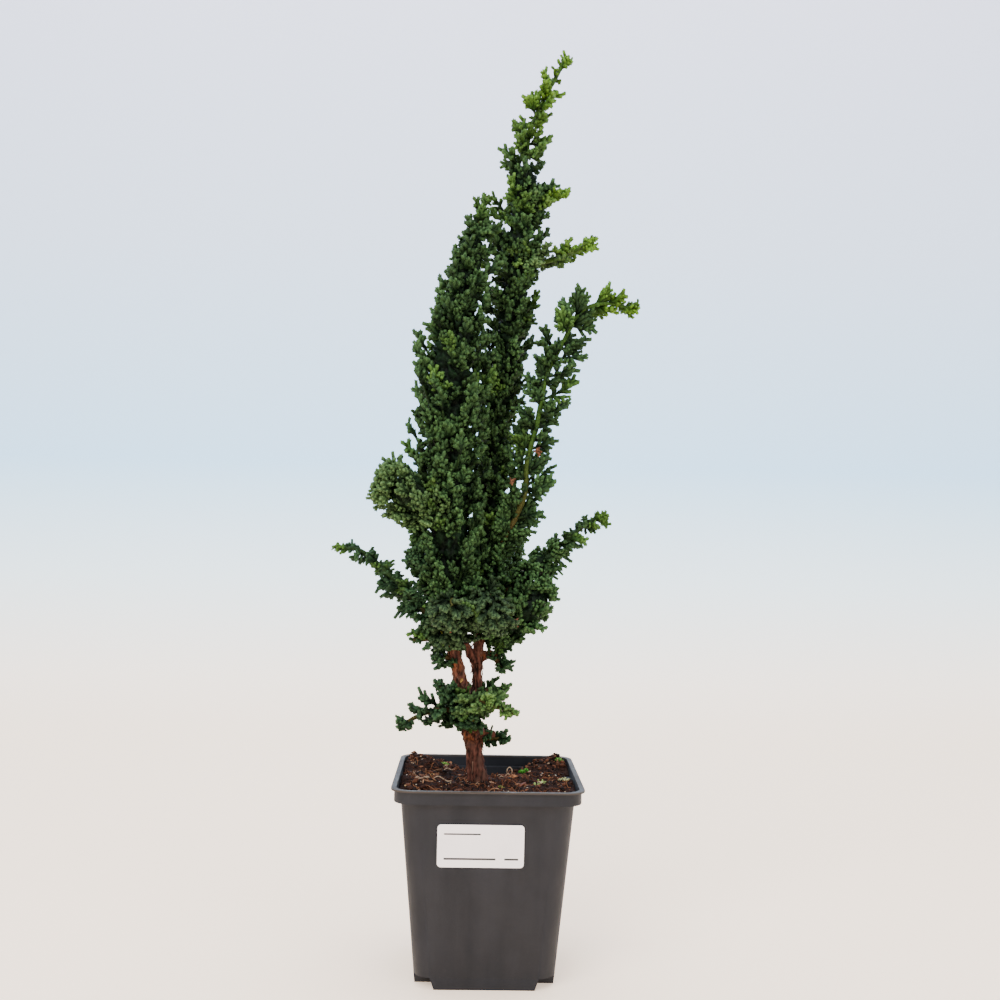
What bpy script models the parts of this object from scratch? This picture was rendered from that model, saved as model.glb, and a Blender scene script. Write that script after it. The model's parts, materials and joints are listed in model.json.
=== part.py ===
"""Hinoki cypress bonsai in a square nursery pot.

Metres, +Z up. The origin is the centre of the pot's foot, on the surface that it stands on, and the
front of the pot, with its label, faces -Y. Each leafy shoot is one solid: a stem whose bushy part
is raised facet by facet into blunt tufts, and three-sided twigs that stand out of it in a spiral,
as far as the shoot reaches there.
"""
import math
import random
from collections import namedtuple

import bmesh
import bpy
import numpy as np
from mathutils import Matrix, Vector
from mathutils.bvhtree import BVHTree

MM = 0.001
GAP = 0.3 * MM

# Pot
POT_HEIGHT = 93.8 * MM
LIP_HALF = 45.0 * MM
LIP_THICK = 0.8 * MM
BAND_HALF = 43.6 * MM
BAND_BOTTOM = 87.4 * MM
WALL_TOP_HALF = 40.6 * MM
FOOT_HALF = 33.3 * MM
FOOT_HEIGHT = 5.5 * MM
POT_CORNER = 9.0 * MM
CORNER_STEPS = 4
WALL = 1.0 * MM
FLOOR = 1.2 * MM
WALL_SLOPE = (WALL_TOP_HALF - FOOT_HALF) / (BAND_BOTTOM - FOOT_HEIGHT)
ARM_TOP_HALF = 25.5 * MM
ARM_FOOT_HALF = 23.5 * MM
DRAIN_OFFSET = 27.9 * MM
DRAIN_HALF = 1.7 * MM

# Label
LABEL_SIZE = (40.0 * MM, 20.0 * MM)
LABEL_THICK = 0.25 * MM
LABEL_CORNER = 1.8 * MM
LABEL_X = -3.0 * MM
LABEL_HEIGHT = 68.0 * MM

# Soil surface: a mean level with broad heaps and dips (x, y, height, radius)
SOIL_LEVEL = 88.3 * MM
SOIL_HEAPS = (
    (-33 * MM, 31 * MM, 5.6 * MM, 13 * MM),
    (34 * MM, 33 * MM, 5.4 * MM, 11 * MM),
    (-36 * MM, -6 * MM, 3.6 * MM, 14 * MM),
    (36 * MM, -8 * MM, 2.2 * MM, 13 * MM),
    (2 * MM, -34 * MM, 1.6 * MM, 18 * MM),
    (2 * MM, 38 * MM, -4.4 * MM, 17 * MM),
)
SOIL_LUMP = 0.8 * MM
SOIL_CELLS = 12
SOIL_GRID_HALF = 50 * MM
TRUNK_FOOT = (-4.4 * MM, 5.0 * MM)
TRUNK_FOOT_Z = 62.0 * MM
TRUNK_HOLE_RADIUS = 6.6 * MM

# Wood: centreline points (x, y, z, radius) in millimetres
TRUNK = (
    (-4.4, 5, 62.4, 5.9), (-4.4, 5, 86, 5.9), (-4.6, 4.8, 90, 5.1), (-5.7, 4, 97, 4.35),
    (-7.1, 3, 106, 3.8), (-7.4, 3, 110, 4.9), (-7.8, 2.8, 113.5, 4.6), (-8.6, 2, 118, 3.9),
    (-10, 1, 126, 3.9),
)
LEFT_WOOD = (
    (-9.6, 1, 121, 3.3), (-13, -2, 134, 3.1), (-16, -5, 147, 2.95), (-19, -7, 159, 2.9),
    (-21, -8, 172, 2.7),
)
RIGHT_WOOD = (
    (-9.4, 1, 121, 3.0), (-6, 3, 135, 2.45), (-6, 4, 144, 2.4), (-5.5, 6, 154, 2.5),
    (-4, 8, 171, 2.3),
)
STUBS = (
    ((-6, 5.2, 149, 2.9), (-1, 6, 151, 2.2), (3.5, 5, 151.5, 1.7)),
    ((-6, 4.5, 146, 2.3), (-9.5, 3, 152, 2.2), (-12, 2, 157, 1.8)),
    ((-7.4, 3, 111, 2.6), (-12.4, 1.2, 113.2, 2.0)),
    ((-7.4, 3, 111, 2.6), (-1.6, 2.4, 112.6, 1.9)),
)
WOOD_SIDES = 10
WOOD_STEP = 9 * MM

# Shoots, in millimetres. parent is what the stem grows from. path is the stem's centreline, starting
# inside the parent. core is (fraction of the path, radius). reach is (fraction, left, right, depth):
# how far the leaves stand out from the centreline. sides is the number of blunt tufts round the core,
# where it is bushy, and twigs the number of twigs along the stem. lean is the angle between a twig
# and the stem, in degrees.
Shoot = namedtuple("Shoot", "name parent path core reach sides twigs lean turn seed colour")
SPIRAL = 137.5
OPPOSITE = 180.0
DARK, MID, BRIGHT, GREY = "leaf_dark", "leaf_mid", "leaf_bright", "leaf_grey"
SHOOTS = (
    Shoot("left_leader", "wood",
          ((-21, -8, 170), (-21, -9, 199), (-22, -10, 238), (-22, -10, 277), (-20, -9, 312), (-16, -7, 342),
           (-9, -5, 368), (-6, -4, 380)),
          ((0, 2.2), (0.1, 7), (0.3, 10), (0.5, 11), (0.66, 9), (0.82, 6.5), (0.93, 2.4), (1, 1.1)),
          ((0, 12, 11, 12), (0.1, 19, 16, 17), (0.32, 19, 16, 18), (0.5, 22.5, 17, 18),
           (0.66, 19.5, 16, 16), (0.82, 12.5, 12, 12), (0.94, 6, 8, 7), (1, 3, 3, 3)),
          10, 10, 60, SPIRAL, 11, MID),
    Shoot("right_leader", "wood",
          ((-4, 8, 169), (-2, 10, 209), (0, 11, 239), (2, 12, 265), (5, 12, 288), (7, 12, 313), (11, 11, 353),
           (13, 10, 383), (15, 8, 415), (22, 6, 434), (28, 5, 445), (33, 4, 456)),
          ((0, 1.9), (0.1, 6), (0.25, 6), (0.35, 4), (0.5, 5.5), (0.62, 6), (0.75, 5), (0.83, 2.6),
           (0.9, 1.5), (1, 1.0)),
          ((0, 8, 11, 12), (0.13, 10, 13, 15), (0.24, 8, 12, 14), (0.33, 11, 7, 11),
           (0.41, 11, 9, 12), (0.5, 12, 14, 12), (0.63, 15, 12, 13), (0.74, 16, 13, 12),
           (0.8, 11, 14, 10), (0.84, 13, 14, 10), (0.9, 12, 11, 9), (0.95, 9, 7, 6), (1, 3, 3, 3)),
          8, 19, 58, SPIRAL, 12, MID),
    Shoot("green_shoot", "right_leader",
          ((-2, 9, 199), (7, 3, 211), (13, -1, 224), (16, -2, 233), (17, -3, 249), (21, -3, 266), (24, -3, 283),
           (26, -3, 292), (30, -3, 301), (34, -3, 309), (38, -3, 317), (44, -4, 325), (56, -5, 328),
           (70, -6, 324)),
          ((0, 1.7), (0.1, 1.8), (0.2, 3.5), (0.34, 2.6), (0.45, 1.5), (0.8, 1.3), (1, 0.9)),
          ((0, 6, 8, 8), (0.2, 10, 13, 13), (0.34, 11, 13, 12), (0.45, 12, 12, 9), (0.55, 11, 15, 8),
           (0.66, 10, 15, 8), (0.75, 13, 13, 9), (0.83, 12, 12, 9), (0.92, 9, 9, 8), (1, 4, 4, 4)),
          6, 16, 56, OPPOSITE, 13, MID),
    Shoot("left_lobe", "left_leader",
          ((-22, -10, 218), (-32, -13, 225), (-42, -16, 231), (-51, -17, 234)),
          ((0, 2), (0.4, 2.6), (0.56, 8), (0.8, 9), (1, 6)),
          ((0, 6, 6, 6), (0.35, 14, 14, 14), (0.7, 18, 18, 18), (1, 14, 14, 14)),
          10, 4, 55, SPIRAL, 14, BRIGHT),
    Shoot("left_tuft", "left_leader",
          ((-21, -9, 190), (-29, -11, 195), (-36, -12, 200)),
          ((0, 1.6), (0.5, 1.8), (0.75, 4), (1, 2.5)),
          ((0, 4, 4, 4), (0.5, 8, 8, 8), (1, 8, 8, 8)),
          6, 4, 45, SPIRAL, 15, DARK),
    Shoot("left_arch", "wood",
          ((-19.5, -7.3, 162), (-30, -10, 171), (-42, -12, 182), (-55, -14, 194), (-65, -15, 200),
           (-75, -17, 202)),
          ((0, 1.6), (0.15, 1.7), (0.3, 3), (0.6, 1.6), (1, 0.9)),
          ((0, 4, 4, 4), (0.25, 9, 9, 9), (0.6, 7, 7, 7), (1, 3, 3, 3)),
          6, 6, 42, OPPOSITE, 16, DARK),
    Shoot("right_arch", "right_leader",
          ((-3, 8, 180), (10, 4, 185), (24, 2, 196), (39, 0, 208), (56, -2, 221)),
          ((0, 1.6), (0.2, 1.8), (0.4, 5), (0.65, 2), (1, 0.9)),
          ((0, 6, 6, 6), (0.4, 12, 12, 12), (0.7, 7, 7, 7), (1, 3, 3, 3)),
          6, 6, 45, SPIRAL, 17, MID),
    Shoot("skirt_right", "wood",
          ((-5, 7, 160), (6, 2, 167), (17, -4, 174), (26, -7, 184)),
          ((0, 1.8), (0.25, 2), (0.45, 7), (0.75, 9), (1, 5)),
          ((0, 5, 5, 5), (0.4, 13, 14, 13), (0.75, 14, 15, 14), (1, 9, 9, 9)),
          8, 4, 50, SPIRAL, 18, MID),
    Shoot("skirt_front_left", "wood",
          ((-18.5, -6.8, 156), (-18, -18, 168), (-17, -29, 173), (-16, -36, 166)),
          ((0, 1.6), (0.25, 1.8), (0.5, 5), (0.75, 5.5), (1, 3)),
          ((0, 5, 5, 5), (0.4, 12, 12, 11), (0.75, 12, 12, 12), (1, 9, 9, 9)),
          8, 4, 50, SPIRAL, 19, GREY),
    Shoot("skirt_front_right", "wood",
          ((-4.6, 7.4, 164), (-3, -7, 175), (-1, -21, 179), (1, -31, 171)),
          ((0, 1.4), (0.3, 1.8), (0.5, 4.5), (0.75, 5.5), (1, 3)),
          ((0, 4, 4, 4), (0.4, 10, 10, 10), (0.75, 12, 12, 12), (1, 9, 9, 9)),
          8, 4, 50, SPIRAL, 20, GREY),
    Shoot("skirt_back_left", "left_leader",
          ((-21, -8, 184), (-27, 6, 188), (-32, 17, 192), (-33, 28, 200)),
          ((0, 1.6), (0.3, 1.8), (0.5, 6), (0.75, 7), (1, 4)),
          ((0, 5, 5, 5), (0.4, 12, 12, 12), (0.75, 13, 13, 13), (1, 10, 10, 10)),
          8, 4, 50, SPIRAL, 21, DARK),
    Shoot("skirt_back_right", "right_leader",
          ((-3, 8, 186), (4, 21, 188), (9, 32, 194), (9, 40, 204)),
          ((0, 1.6), (0.3, 1.8), (0.5, 6), (0.75, 7), (1, 4)),
          ((0, 5, 5, 5), (0.4, 12, 12, 12), (0.75, 13, 13, 13), (1, 10, 10, 10)),
          8, 4, 50, SPIRAL, 22, MID),
    Shoot("crown_right_low", "right_leader",
          ((11, 11, 351), (24, 7, 351), (37, 4, 355), (49, 1, 361)),
          ((0, 1.2), (0.5, 1.6), (1, 0.9)),
          ((0, 8, 8, 8), (0.5, 11, 11, 9), (1, 4, 4, 4)),
          4, 6, 45, OPPOSITE, 23, BRIGHT),
    Shoot("crown_right_high", "right_leader",
          ((13, 10, 381), (24, 8, 382), (36, 6, 386)),
          ((0, 1.1), (1, 0.9)),
          ((0, 7, 7, 7), (0.6, 8, 8, 7), (1, 4, 4, 4)),
          4, 4, 40, OPPOSITE, 24, BRIGHT),
    Shoot("spray_left", "wood",
          ((-18.5, -6.7, 157), (-27, -9, 160), (-38, -11, 159)),
          ((0, 1.3), (0.5, 1.8), (1, 0.9)),
          ((0, 4, 4, 4), (0.5, 6, 6, 6), (1, 4, 4, 4)),
          4, 4, 40, SPIRAL, 25, DARK),
    Shoot("tuft_left", "wood",
          ((-16.5, -5.3, 149), (-22, -7, 151), (-28, -9, 150)),
          ((0, 1.3), (0.45, 1.4), (0.65, 2.6), (1, 1.5)),
          ((0, 4, 4, 4), (0.5, 7, 7, 7), (1, 5, 5, 5)),
          6, 4, 50, SPIRAL, 26, DARK),
    Shoot("tuft_right_high", "wood",
          ((3, 5, 151.5), (6, 4, 156), (10, 3, 158)),
          ((0, 1.1), (1, 1.1)),
          ((0, 4, 4, 4), (0.5, 5, 5, 5), (1, 4, 4, 4)),
          4, 3, 45, SPIRAL, 27, DARK),
    Shoot("tuft_right_low", "wood",
          ((2, 5.2, 151.4), (6, 2, 146), (11, 1, 145)),
          ((0, 1.1), (1, 1.1)),
          ((0, 4, 4, 4), (0.5, 5, 5, 5), (1, 4, 4, 4)),
          4, 3, 45, SPIRAL, 28, DARK),
    Shoot("low_left", "wood",
          ((-9, 2, 119), (-19, -3, 124.5), (-31, -7, 123.5), (-44, -10, 117)),
          ((0, 1.5), (0.2, 1.6), (0.4, 4), (0.65, 2.4), (1, 0.9)),
          ((0, 5, 5, 5), (0.35, 11, 11, 10), (0.65, 8, 8, 8), (1, 3.5, 3.5, 3.5)),
          6, 6, 44, SPIRAL, 29, DARK),
    Shoot("low_left_high", "wood",
          ((-11.5, -0.5, 129), (-19, -4, 133), (-26, -7, 139)),
          ((0, 1.3), (0.5, 2), (1, 1)),
          ((0, 4, 4, 4), (0.5, 7, 7, 6), (1, 4, 4, 4)),
          4, 5, 42, SPIRAL, 30, DARK),
    Shoot("low_front", "wood",
          ((-9, 1, 122), (-7, -13, 129), (-2, -25, 132), (6, -31, 130), (13, -34, 128)),
          ((0, 1.5), (0.4, 3), (0.7, 1.7), (1, 0.9)),
          ((0, 5, 5, 5), (0.3, 10, 10, 8), (0.7, 8, 8, 6), (1, 3.5, 3.5, 3.5)),
          6, 6, 46, OPPOSITE, 31, BRIGHT),
    Shoot("low_front_under", "wood",
          ((-8.5, 2, 118.6), (-9, -9, 120.5), (-7.5, -16, 120.5)),
          ((0, 1.4), (0.3, 1.8), (0.6, 3.4), (1, 2.4)),
          ((0, 4, 4, 4), (0.6, 8, 8, 7), (1, 6, 6, 6)),
          6, 4, 45, SPIRAL, 38, DARK),
    Shoot("low_right", "wood",
          ((-7, 2.4, 131), (1, 2, 134), (10, -1, 136)),
          ((0, 1.1), (1, 0.9)),
          ((0, 4, 4, 4), (0.6, 5, 5, 5), (1, 3, 3, 3)),
          4, 4, 40, OPPOSITE, 33, MID),
    Shoot("low_right_tuft", "wood",
          ((-7.5, 3, 110), (1, 3.6, 109), (9, 4, 109)),
          ((0, 1.1), (1, 1.0)),
          ((0, 4, 4, 4), (0.6, 5, 5, 5), (1, 4, 4, 4)),
          4, 4, 45, SPIRAL, 34, DARK),
    Shoot("low_back", "wood",
          ((-9, 1.5, 122), (-12, 12, 126), (-13, 24, 126), (-11, 34, 121)),
          ((0, 1.6), (0.5, 3), (1, 1.2)),
          ((0, 5, 5, 5), (0.5, 10, 10, 9), (1, 5, 5, 5)),
          6, 4, 45, SPIRAL, 35, DARK),
)
BUSHY_CORE = 2.4
BUSHY_STEP = 7.2 * MM
SLIM_STEP = 14 * MM
CORE_TWIST = 13
CORE_SHIFT = 0.1
TUFT_TIP = 0.62
TUFT_REACH = (0.62, 1.04)
TUFT_LEAN = (52, 82)
TUFT_SWAY = 0.35
TUFT_SCALES = (1.0, 0.85, 0.7, 0.55, 0.4)
FINE_STEP = 0.25 * MM
BALL_STEP = 4
SEAT_GAP = 0.65 * MM
SEAT_RANGE = 3 * MM
SEAT_STEP = 0.05 * MM
SINK = 0.9 * MM
SLIM_WEIGHT = 4
TWIG_RANGE = (7.5, 17.0)
TWIG_SCALES = (1.0, 0.86, 0.74, 0.62)
TWIG_TURNS = (0, 45, 90, 135, 180, 225, 270, 315)
TWIG_GAP = 0.5 * MM
OWN_TWIGS = " twigs"
JITTER = 14
BUSHY_END = 7.0
BUSHY_TIP_BACK = 2 * MM
SLIM_TIP_BACK = 6.5 * MM
PAST_END = 1 * MM

# Twig: a three-sided stem with blunt buds, in millimetres at its usual size
TWIG_LENGTH = 11.5
TWIG_BANDS = 2
TWIG_ROOT_RADIUS = 1.75
TWIG_TIP_RADIUS = 1.3
BUD_LENGTH = 4.6
BUD_LEAN = 52
BUD_TAPER = 0.72
TIP_RISE = 0.9

COLOURS = {
    "pot_plastic": ((0.036, 0.037, 0.041), 0.48),
    "label_paper": ((0.82, 0.81, 0.84), 0.55),
    "soil": ((0.050, 0.020, 0.012), 0.95),
    "bark": ((0.115, 0.030, 0.014), 0.85),
    DARK: ((0.016, 0.050, 0.022), 0.6),
    MID: ((0.028, 0.085, 0.022), 0.6),
    BRIGHT: ((0.075, 0.170, 0.028), 0.6),
    GREY: ((0.050, 0.085, 0.055), 0.65),
}


def clear_scene():
    for ob in list(bpy.data.objects):
        bpy.data.objects.remove(ob)


def make_material(name):
    colour, roughness = COLOURS[name]
    mat = bpy.data.materials.new(name)
    mat.use_nodes = True
    shader = mat.node_tree.nodes["Principled BSDF"]
    shader.inputs["Base Color"].default_value = (*colour, 1)
    shader.inputs["Roughness"].default_value = roughness
    shader.inputs["Metallic"].default_value = 0
    return mat


def add_object(name, data, collection):
    ob = bpy.data.objects.new(name, data)
    collection.objects.link(ob)
    return ob


def evaluated_mesh(ob):
    bpy.context.view_layer.update()
    graph = bpy.context.evaluated_depsgraph_get()
    return bpy.data.meshes.new_from_object(ob.evaluated_get(graph))


def combine(ob, parts, operation, solver="EXACT"):
    """Apply one Boolean of ob with all the parts, and remove the parts."""
    tools = bpy.data.collections.new("tools")
    bpy.context.scene.collection.children.link(tools)
    for part in parts:
        for holder in list(part.users_collection):
            holder.objects.unlink(part)
        tools.objects.link(part)
    modifier = ob.modifiers.new(operation.lower(), "BOOLEAN")
    modifier.operation = operation
    modifier.operand_type = "COLLECTION"
    modifier.collection = tools
    modifier.solver = solver
    mesh = evaluated_mesh(ob)
    ob.modifiers.clear()
    ob.data = mesh
    for part in parts:
        bpy.data.objects.remove(part)
    bpy.data.collections.remove(tools)


def keep_largest_body(mesh):
    """Drop a loose scrap or a hollow that the union sealed, so that one closed body is left."""
    bm = bmesh.new()
    bm.from_mesh(mesh)
    bmesh.ops.remove_doubles(bm, verts=bm.verts, dist=1e-6)
    unseen = set(bm.faces)
    bodies = []
    while unseen:
        body = {unseen.pop()}
        edge_of_search = list(body)
        while edge_of_search:
            face = edge_of_search.pop()
            for edge in face.edges:
                for other in edge.link_faces:
                    if other in unseen:
                        unseen.discard(other)
                        body.add(other)
                        edge_of_search.append(other)
        bodies.append(body)
    bodies.sort(key=len)
    for body in bodies[:-1]:
        bmesh.ops.delete(bm, geom=list(body), context="FACES")
    loose = [v for v in bm.verts if not v.link_faces]
    bmesh.ops.delete(bm, geom=loose, context="VERTS")
    bm.to_mesh(mesh)
    bm.free()


def tapered_block(name, low_half, high_half, low, high, corner, collection, centre=(0, 0)):
    """A box with unlike ends, given as half sizes (x, y), and rounded upright edges."""
    bm = bmesh.new()
    bmesh.ops.create_cube(bm, size=2)
    for v in bm.verts:
        half = high_half if v.co.z > 0 else low_half
        height = high if v.co.z > 0 else low
        v.co = Vector((centre[0] + v.co.x * half[0], centre[1] + v.co.y * half[1], height))
    if corner:
        upright = [e for e in bm.edges if abs(e.verts[0].co.z - e.verts[1].co.z) > (high - low) / 2]
        bmesh.ops.bevel(bm, geom=upright, offset=corner, offset_type="OFFSET", segments=CORNER_STEPS,
                        profile=0.5, affect="EDGES")
    mesh = bpy.data.meshes.new(name)
    bm.to_mesh(mesh)
    bm.free()
    return add_object(name, mesh, collection)


def wall_half(height, inset=0.0):
    """Half width of the tapered wall at a height, less an inset."""
    return FOOT_HALF + (height - FOOT_HEIGHT) * WALL_SLOPE - inset


def square(half):
    return (half, half)


def pot_inside(collection, inset):
    """The blocks that fill the pot's inside, each face an inset away from the outer faces."""
    floor = FLOOR + inset - WALL
    corner = POT_CORNER - inset
    ledge = BAND_BOTTOM + inset
    top = POT_HEIGHT + 8 * MM
    low_half = square(wall_half(FOOT_HEIGHT + floor, inset))
    high_half = square(wall_half(ledge + 1 * MM, inset))
    well = tapered_block("well", low_half, high_half, FOOT_HEIGHT + floor, ledge + 1 * MM, corner,
                         collection)
    mouth_half = square(BAND_HALF - inset)
    mouth = tapered_block("mouth", mouth_half, mouth_half, ledge, top, corner, collection)
    blocks = [well, mouth]
    for along_x in (True, False):
        long_low = FOOT_HALF - FOOT_HEIGHT * WALL_SLOPE - inset
        long_high = FOOT_HALF - inset
        low = (long_low, ARM_FOOT_HALF - inset) if along_x else (ARM_FOOT_HALF - inset, long_low)
        high = (long_high, ARM_TOP_HALF - inset) if along_x else (ARM_TOP_HALF - inset, long_high)
        blocks.append(tapered_block("arm", low, high, floor, FOOT_HEIGHT + floor + 1 * MM, 0,
                                    collection))
    return blocks


def build_pot(collection, material):
    """Tapered square wall, rim band and lip, on a foot in the shape of a cross with open corners."""
    pot = tapered_block("pot", square(FOOT_HALF), square(wall_half(BAND_BOTTOM + 2 * MM)), FOOT_HEIGHT,
                        BAND_BOTTOM + 2 * MM, POT_CORNER, collection)
    lip_bottom = POT_HEIGHT - LIP_THICK
    band = tapered_block("band", square(BAND_HALF), square(BAND_HALF), BAND_BOTTOM,
                         lip_bottom + LIP_THICK / 2, POT_CORNER, collection)
    lip = tapered_block("lip", square(LIP_HALF), square(LIP_HALF), lip_bottom, POT_HEIGHT, POT_CORNER,
                        collection)
    parts = [band, lip]
    for along_x in (True, False):
        long_low = FOOT_HALF - FOOT_HEIGHT * WALL_SLOPE
        low = (long_low, ARM_FOOT_HALF) if along_x else (ARM_FOOT_HALF, long_low)
        high = (FOOT_HALF, ARM_TOP_HALF) if along_x else (ARM_TOP_HALF, FOOT_HALF)
        parts.append(tapered_block("arm", low, high, 0, FOOT_HEIGHT + FLOOR / 2, 0, collection))
    combine(pot, parts, "UNION")
    cutters = pot_inside(collection, WALL)
    for side_x in (-1, 1):
        for side_y in (-1, 1):
            centre = (side_x * DRAIN_OFFSET, side_y * DRAIN_OFFSET)
            cutters.append(tapered_block("drain", square(DRAIN_HALF), square(DRAIN_HALF),
                                         FOOT_HEIGHT - 2 * MM, FOOT_HEIGHT + 3 * MM, 0, collection, centre))
    combine(pot, cutters, "DIFFERENCE")
    keep_largest_body(pot.data)
    pot.data.materials.clear()
    pot.data.materials.append(material)
    return pot


def build_label(collection, material):
    """A thin sticker with rounded corners, laid parallel to the front wall and just off it."""
    width, height = LABEL_SIZE
    outline = bpy.data.curves.new("label", "CURVE")
    outline.dimensions = "2D"
    outline.fill_mode = "BOTH"
    outline.extrude = LABEL_THICK / 2
    arc_steps = 4
    corners = ((1, 1, 0), (-1, 1, 90), (-1, -1, 180), (1, -1, 270))
    points = []
    for sx, sy, start in corners:
        for step in range(arc_steps + 1):
            angle = math.radians(start + 90 * step / arc_steps)
            points.append((sx * (width / 2 - LABEL_CORNER) + LABEL_CORNER * math.cos(angle),
                           sy * (height / 2 - LABEL_CORNER) + LABEL_CORNER * math.sin(angle)))
    spline = outline.splines.new("POLY")
    spline.points.add(len(points) - 1)
    for point, (x, y) in zip(spline.points, points):
        point.co = (x, y, 0, 1)
    spline.use_cyclic_u = True
    label = add_object("label", outline, collection)
    slope = math.atan(WALL_SLOPE)
    stand_off = (GAP + LABEL_THICK / 2) / math.cos(slope)
    label.location = (LABEL_X, -wall_half(LABEL_HEIGHT) - stand_off, LABEL_HEIGHT)
    label.rotation_euler = (math.radians(90) + slope, 0, 0)
    outline.materials.append(material)
    return label


def soil_height(x, y):
    height = SOIL_LEVEL
    for centre_x, centre_y, rise, radius in SOIL_HEAPS:
        away = math.hypot(x - centre_x, y - centre_y) / radius
        height += rise * math.exp(-away * away)
    wave = math.sin(x / (4.1 * MM) + 1.3 * math.sin(y / (6.3 * MM)))
    ripple = wave * math.sin(y / (3.7 * MM) + x / (9.0 * MM))
    return height + SOIL_LUMP * ripple


def build_soil(collection, material):
    """The pot's inside, filled up to an uneven surface, with a plain hole for the trunk."""
    blocks = pot_inside(collection, WALL + GAP)
    soil = blocks[0]
    soil.name = "soil"
    combine(soil, blocks[1:], "UNION")
    bm = bmesh.new()
    bmesh.ops.create_grid(bm, x_segments=SOIL_CELLS, y_segments=SOIL_CELLS, size=SOIL_GRID_HALF)
    skirt = bmesh.ops.extrude_face_region(bm, geom=bm.faces[:])
    lower = {v for v in skirt["geom"] if isinstance(v, bmesh.types.BMVert)}
    for v in bm.verts:
        v.co.z = -10 * MM if v in lower else soil_height(v.co.x, v.co.y)
    bmesh.ops.recalc_face_normals(bm, faces=bm.faces)
    mesh = bpy.data.meshes.new("ground")
    bm.to_mesh(mesh)
    bm.free()
    combine(soil, [add_object("ground", mesh, collection)], "INTERSECT")
    bm = bmesh.new()
    depth = 60 * MM
    centre = Matrix.Translation((*TRUNK_FOOT, TRUNK_FOOT_Z + depth / 2))
    bmesh.ops.create_cone(bm, cap_ends=True, segments=16, radius1=TRUNK_HOLE_RADIUS,
                          radius2=TRUNK_HOLE_RADIUS, depth=depth, matrix=centre)
    mesh = bpy.data.meshes.new("hole")
    bm.to_mesh(mesh)
    bm.free()
    combine(soil, [add_object("hole", mesh, collection)], "DIFFERENCE")
    keep_largest_body(soil.data)
    soil.data.materials.clear()
    soil.data.materials.append(material)
    return soil


def smooth_path(points, step):
    """Points about a step apart on a smooth curve through the given points."""
    points = [Vector(p) for p in points]
    before = points[0] * 2 - points[1]
    after = points[-1] * 2 - points[-2]
    ends = [before, *points, after]
    path = [points[0]]
    for a, b, c, d in zip(ends, ends[1:], ends[2:], ends[3:]):
        count = max(1, round((c - b).length / step))
        for i in range(1, count + 1):
            t = i / count
            path.append(0.5 * (2 * b + (c - a) * t + (2 * a - 5 * b + 4 * c - d) * t ** 2
                               + (3 * b - a - 3 * c + d) * t ** 3))
    return path


def path_fractions(path):
    """How far along a path each of its points lies, from 0 to 1."""
    lengths = [0.0]
    for a, b in zip(path, path[1:]):
        lengths.append(lengths[-1] + (b - a).length)
    return [length / lengths[-1] for length in lengths]


def read_row(rows, fraction):
    """The values of a table whose rows start with a fraction, in between its rows too."""
    places = [row[0] for row in rows]
    return [float(np.interp(fraction, places, [row[i] for row in rows])) for i in range(1, len(rows[0]))]


def tube_mesh(name, path, radii, sides, twist=0):
    """A closed tube along a path, as a mesh with its caps welded on. Each ring turns by the twist."""
    curve = bpy.data.curves.new(name, "CURVE")
    curve.dimensions = "3D"
    curve.bevel_depth = 1
    curve.bevel_resolution = (sides - 4) // 2
    curve.use_fill_caps = True
    curve.twist_mode = "MINIMUM"
    spline = curve.splines.new("POLY")
    spline.points.add(len(path) - 1)
    for i, (point, co, radius) in enumerate(zip(spline.points, path, radii)):
        point.co = (*co, 1)
        point.radius = radius
        point.tilt = math.radians(i * twist)
    ob = add_object(name, curve, bpy.context.scene.collection)
    mesh = evaluated_mesh(ob)
    bpy.data.objects.remove(ob)
    bm = bmesh.new()
    bm.from_mesh(mesh)
    bmesh.ops.remove_doubles(bm, verts=bm.verts, dist=1e-6)
    bm.to_mesh(mesh)
    bm.free()
    return mesh


def surface_of(mesh):
    bm = bmesh.new()
    bm.from_mesh(mesh)
    tree = BVHTree.FromBMesh(bm)
    bm.free()
    return tree


def limb_path(row, step):
    """Points and radii about a step apart along a limb of the wood."""
    points = smooth_path([tuple(c * MM for c in point[:3]) for point in row], step)
    given = path_fractions([Vector(point[:3]) for point in row])
    places = path_fractions(points)
    radii = [float(r) * MM for r in np.interp(places, given, [point[3] for point in row])]
    return points, radii


def build_wood(collection, material):
    """Trunk, its two bare leaders, the collar of old cuts and the short stubs, as one body."""
    pieces = []
    for row in (TRUNK, LEFT_WOOD, RIGHT_WOOD, *STUBS):
        points, radii = limb_path(row, WOOD_STEP)
        sides = WOOD_SIDES if row is TRUNK else WOOD_SIDES - 2
        mesh = tube_mesh("limb", points, radii, sides)
        pieces.append(add_object("wood" if row is TRUNK else "limb", mesh, collection))
    wood = pieces[0]
    combine(wood, pieces[1:], "UNION")
    keep_largest_body(wood.data)
    wood.data.materials.clear()
    wood.data.materials.append(material)
    return wood


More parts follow.
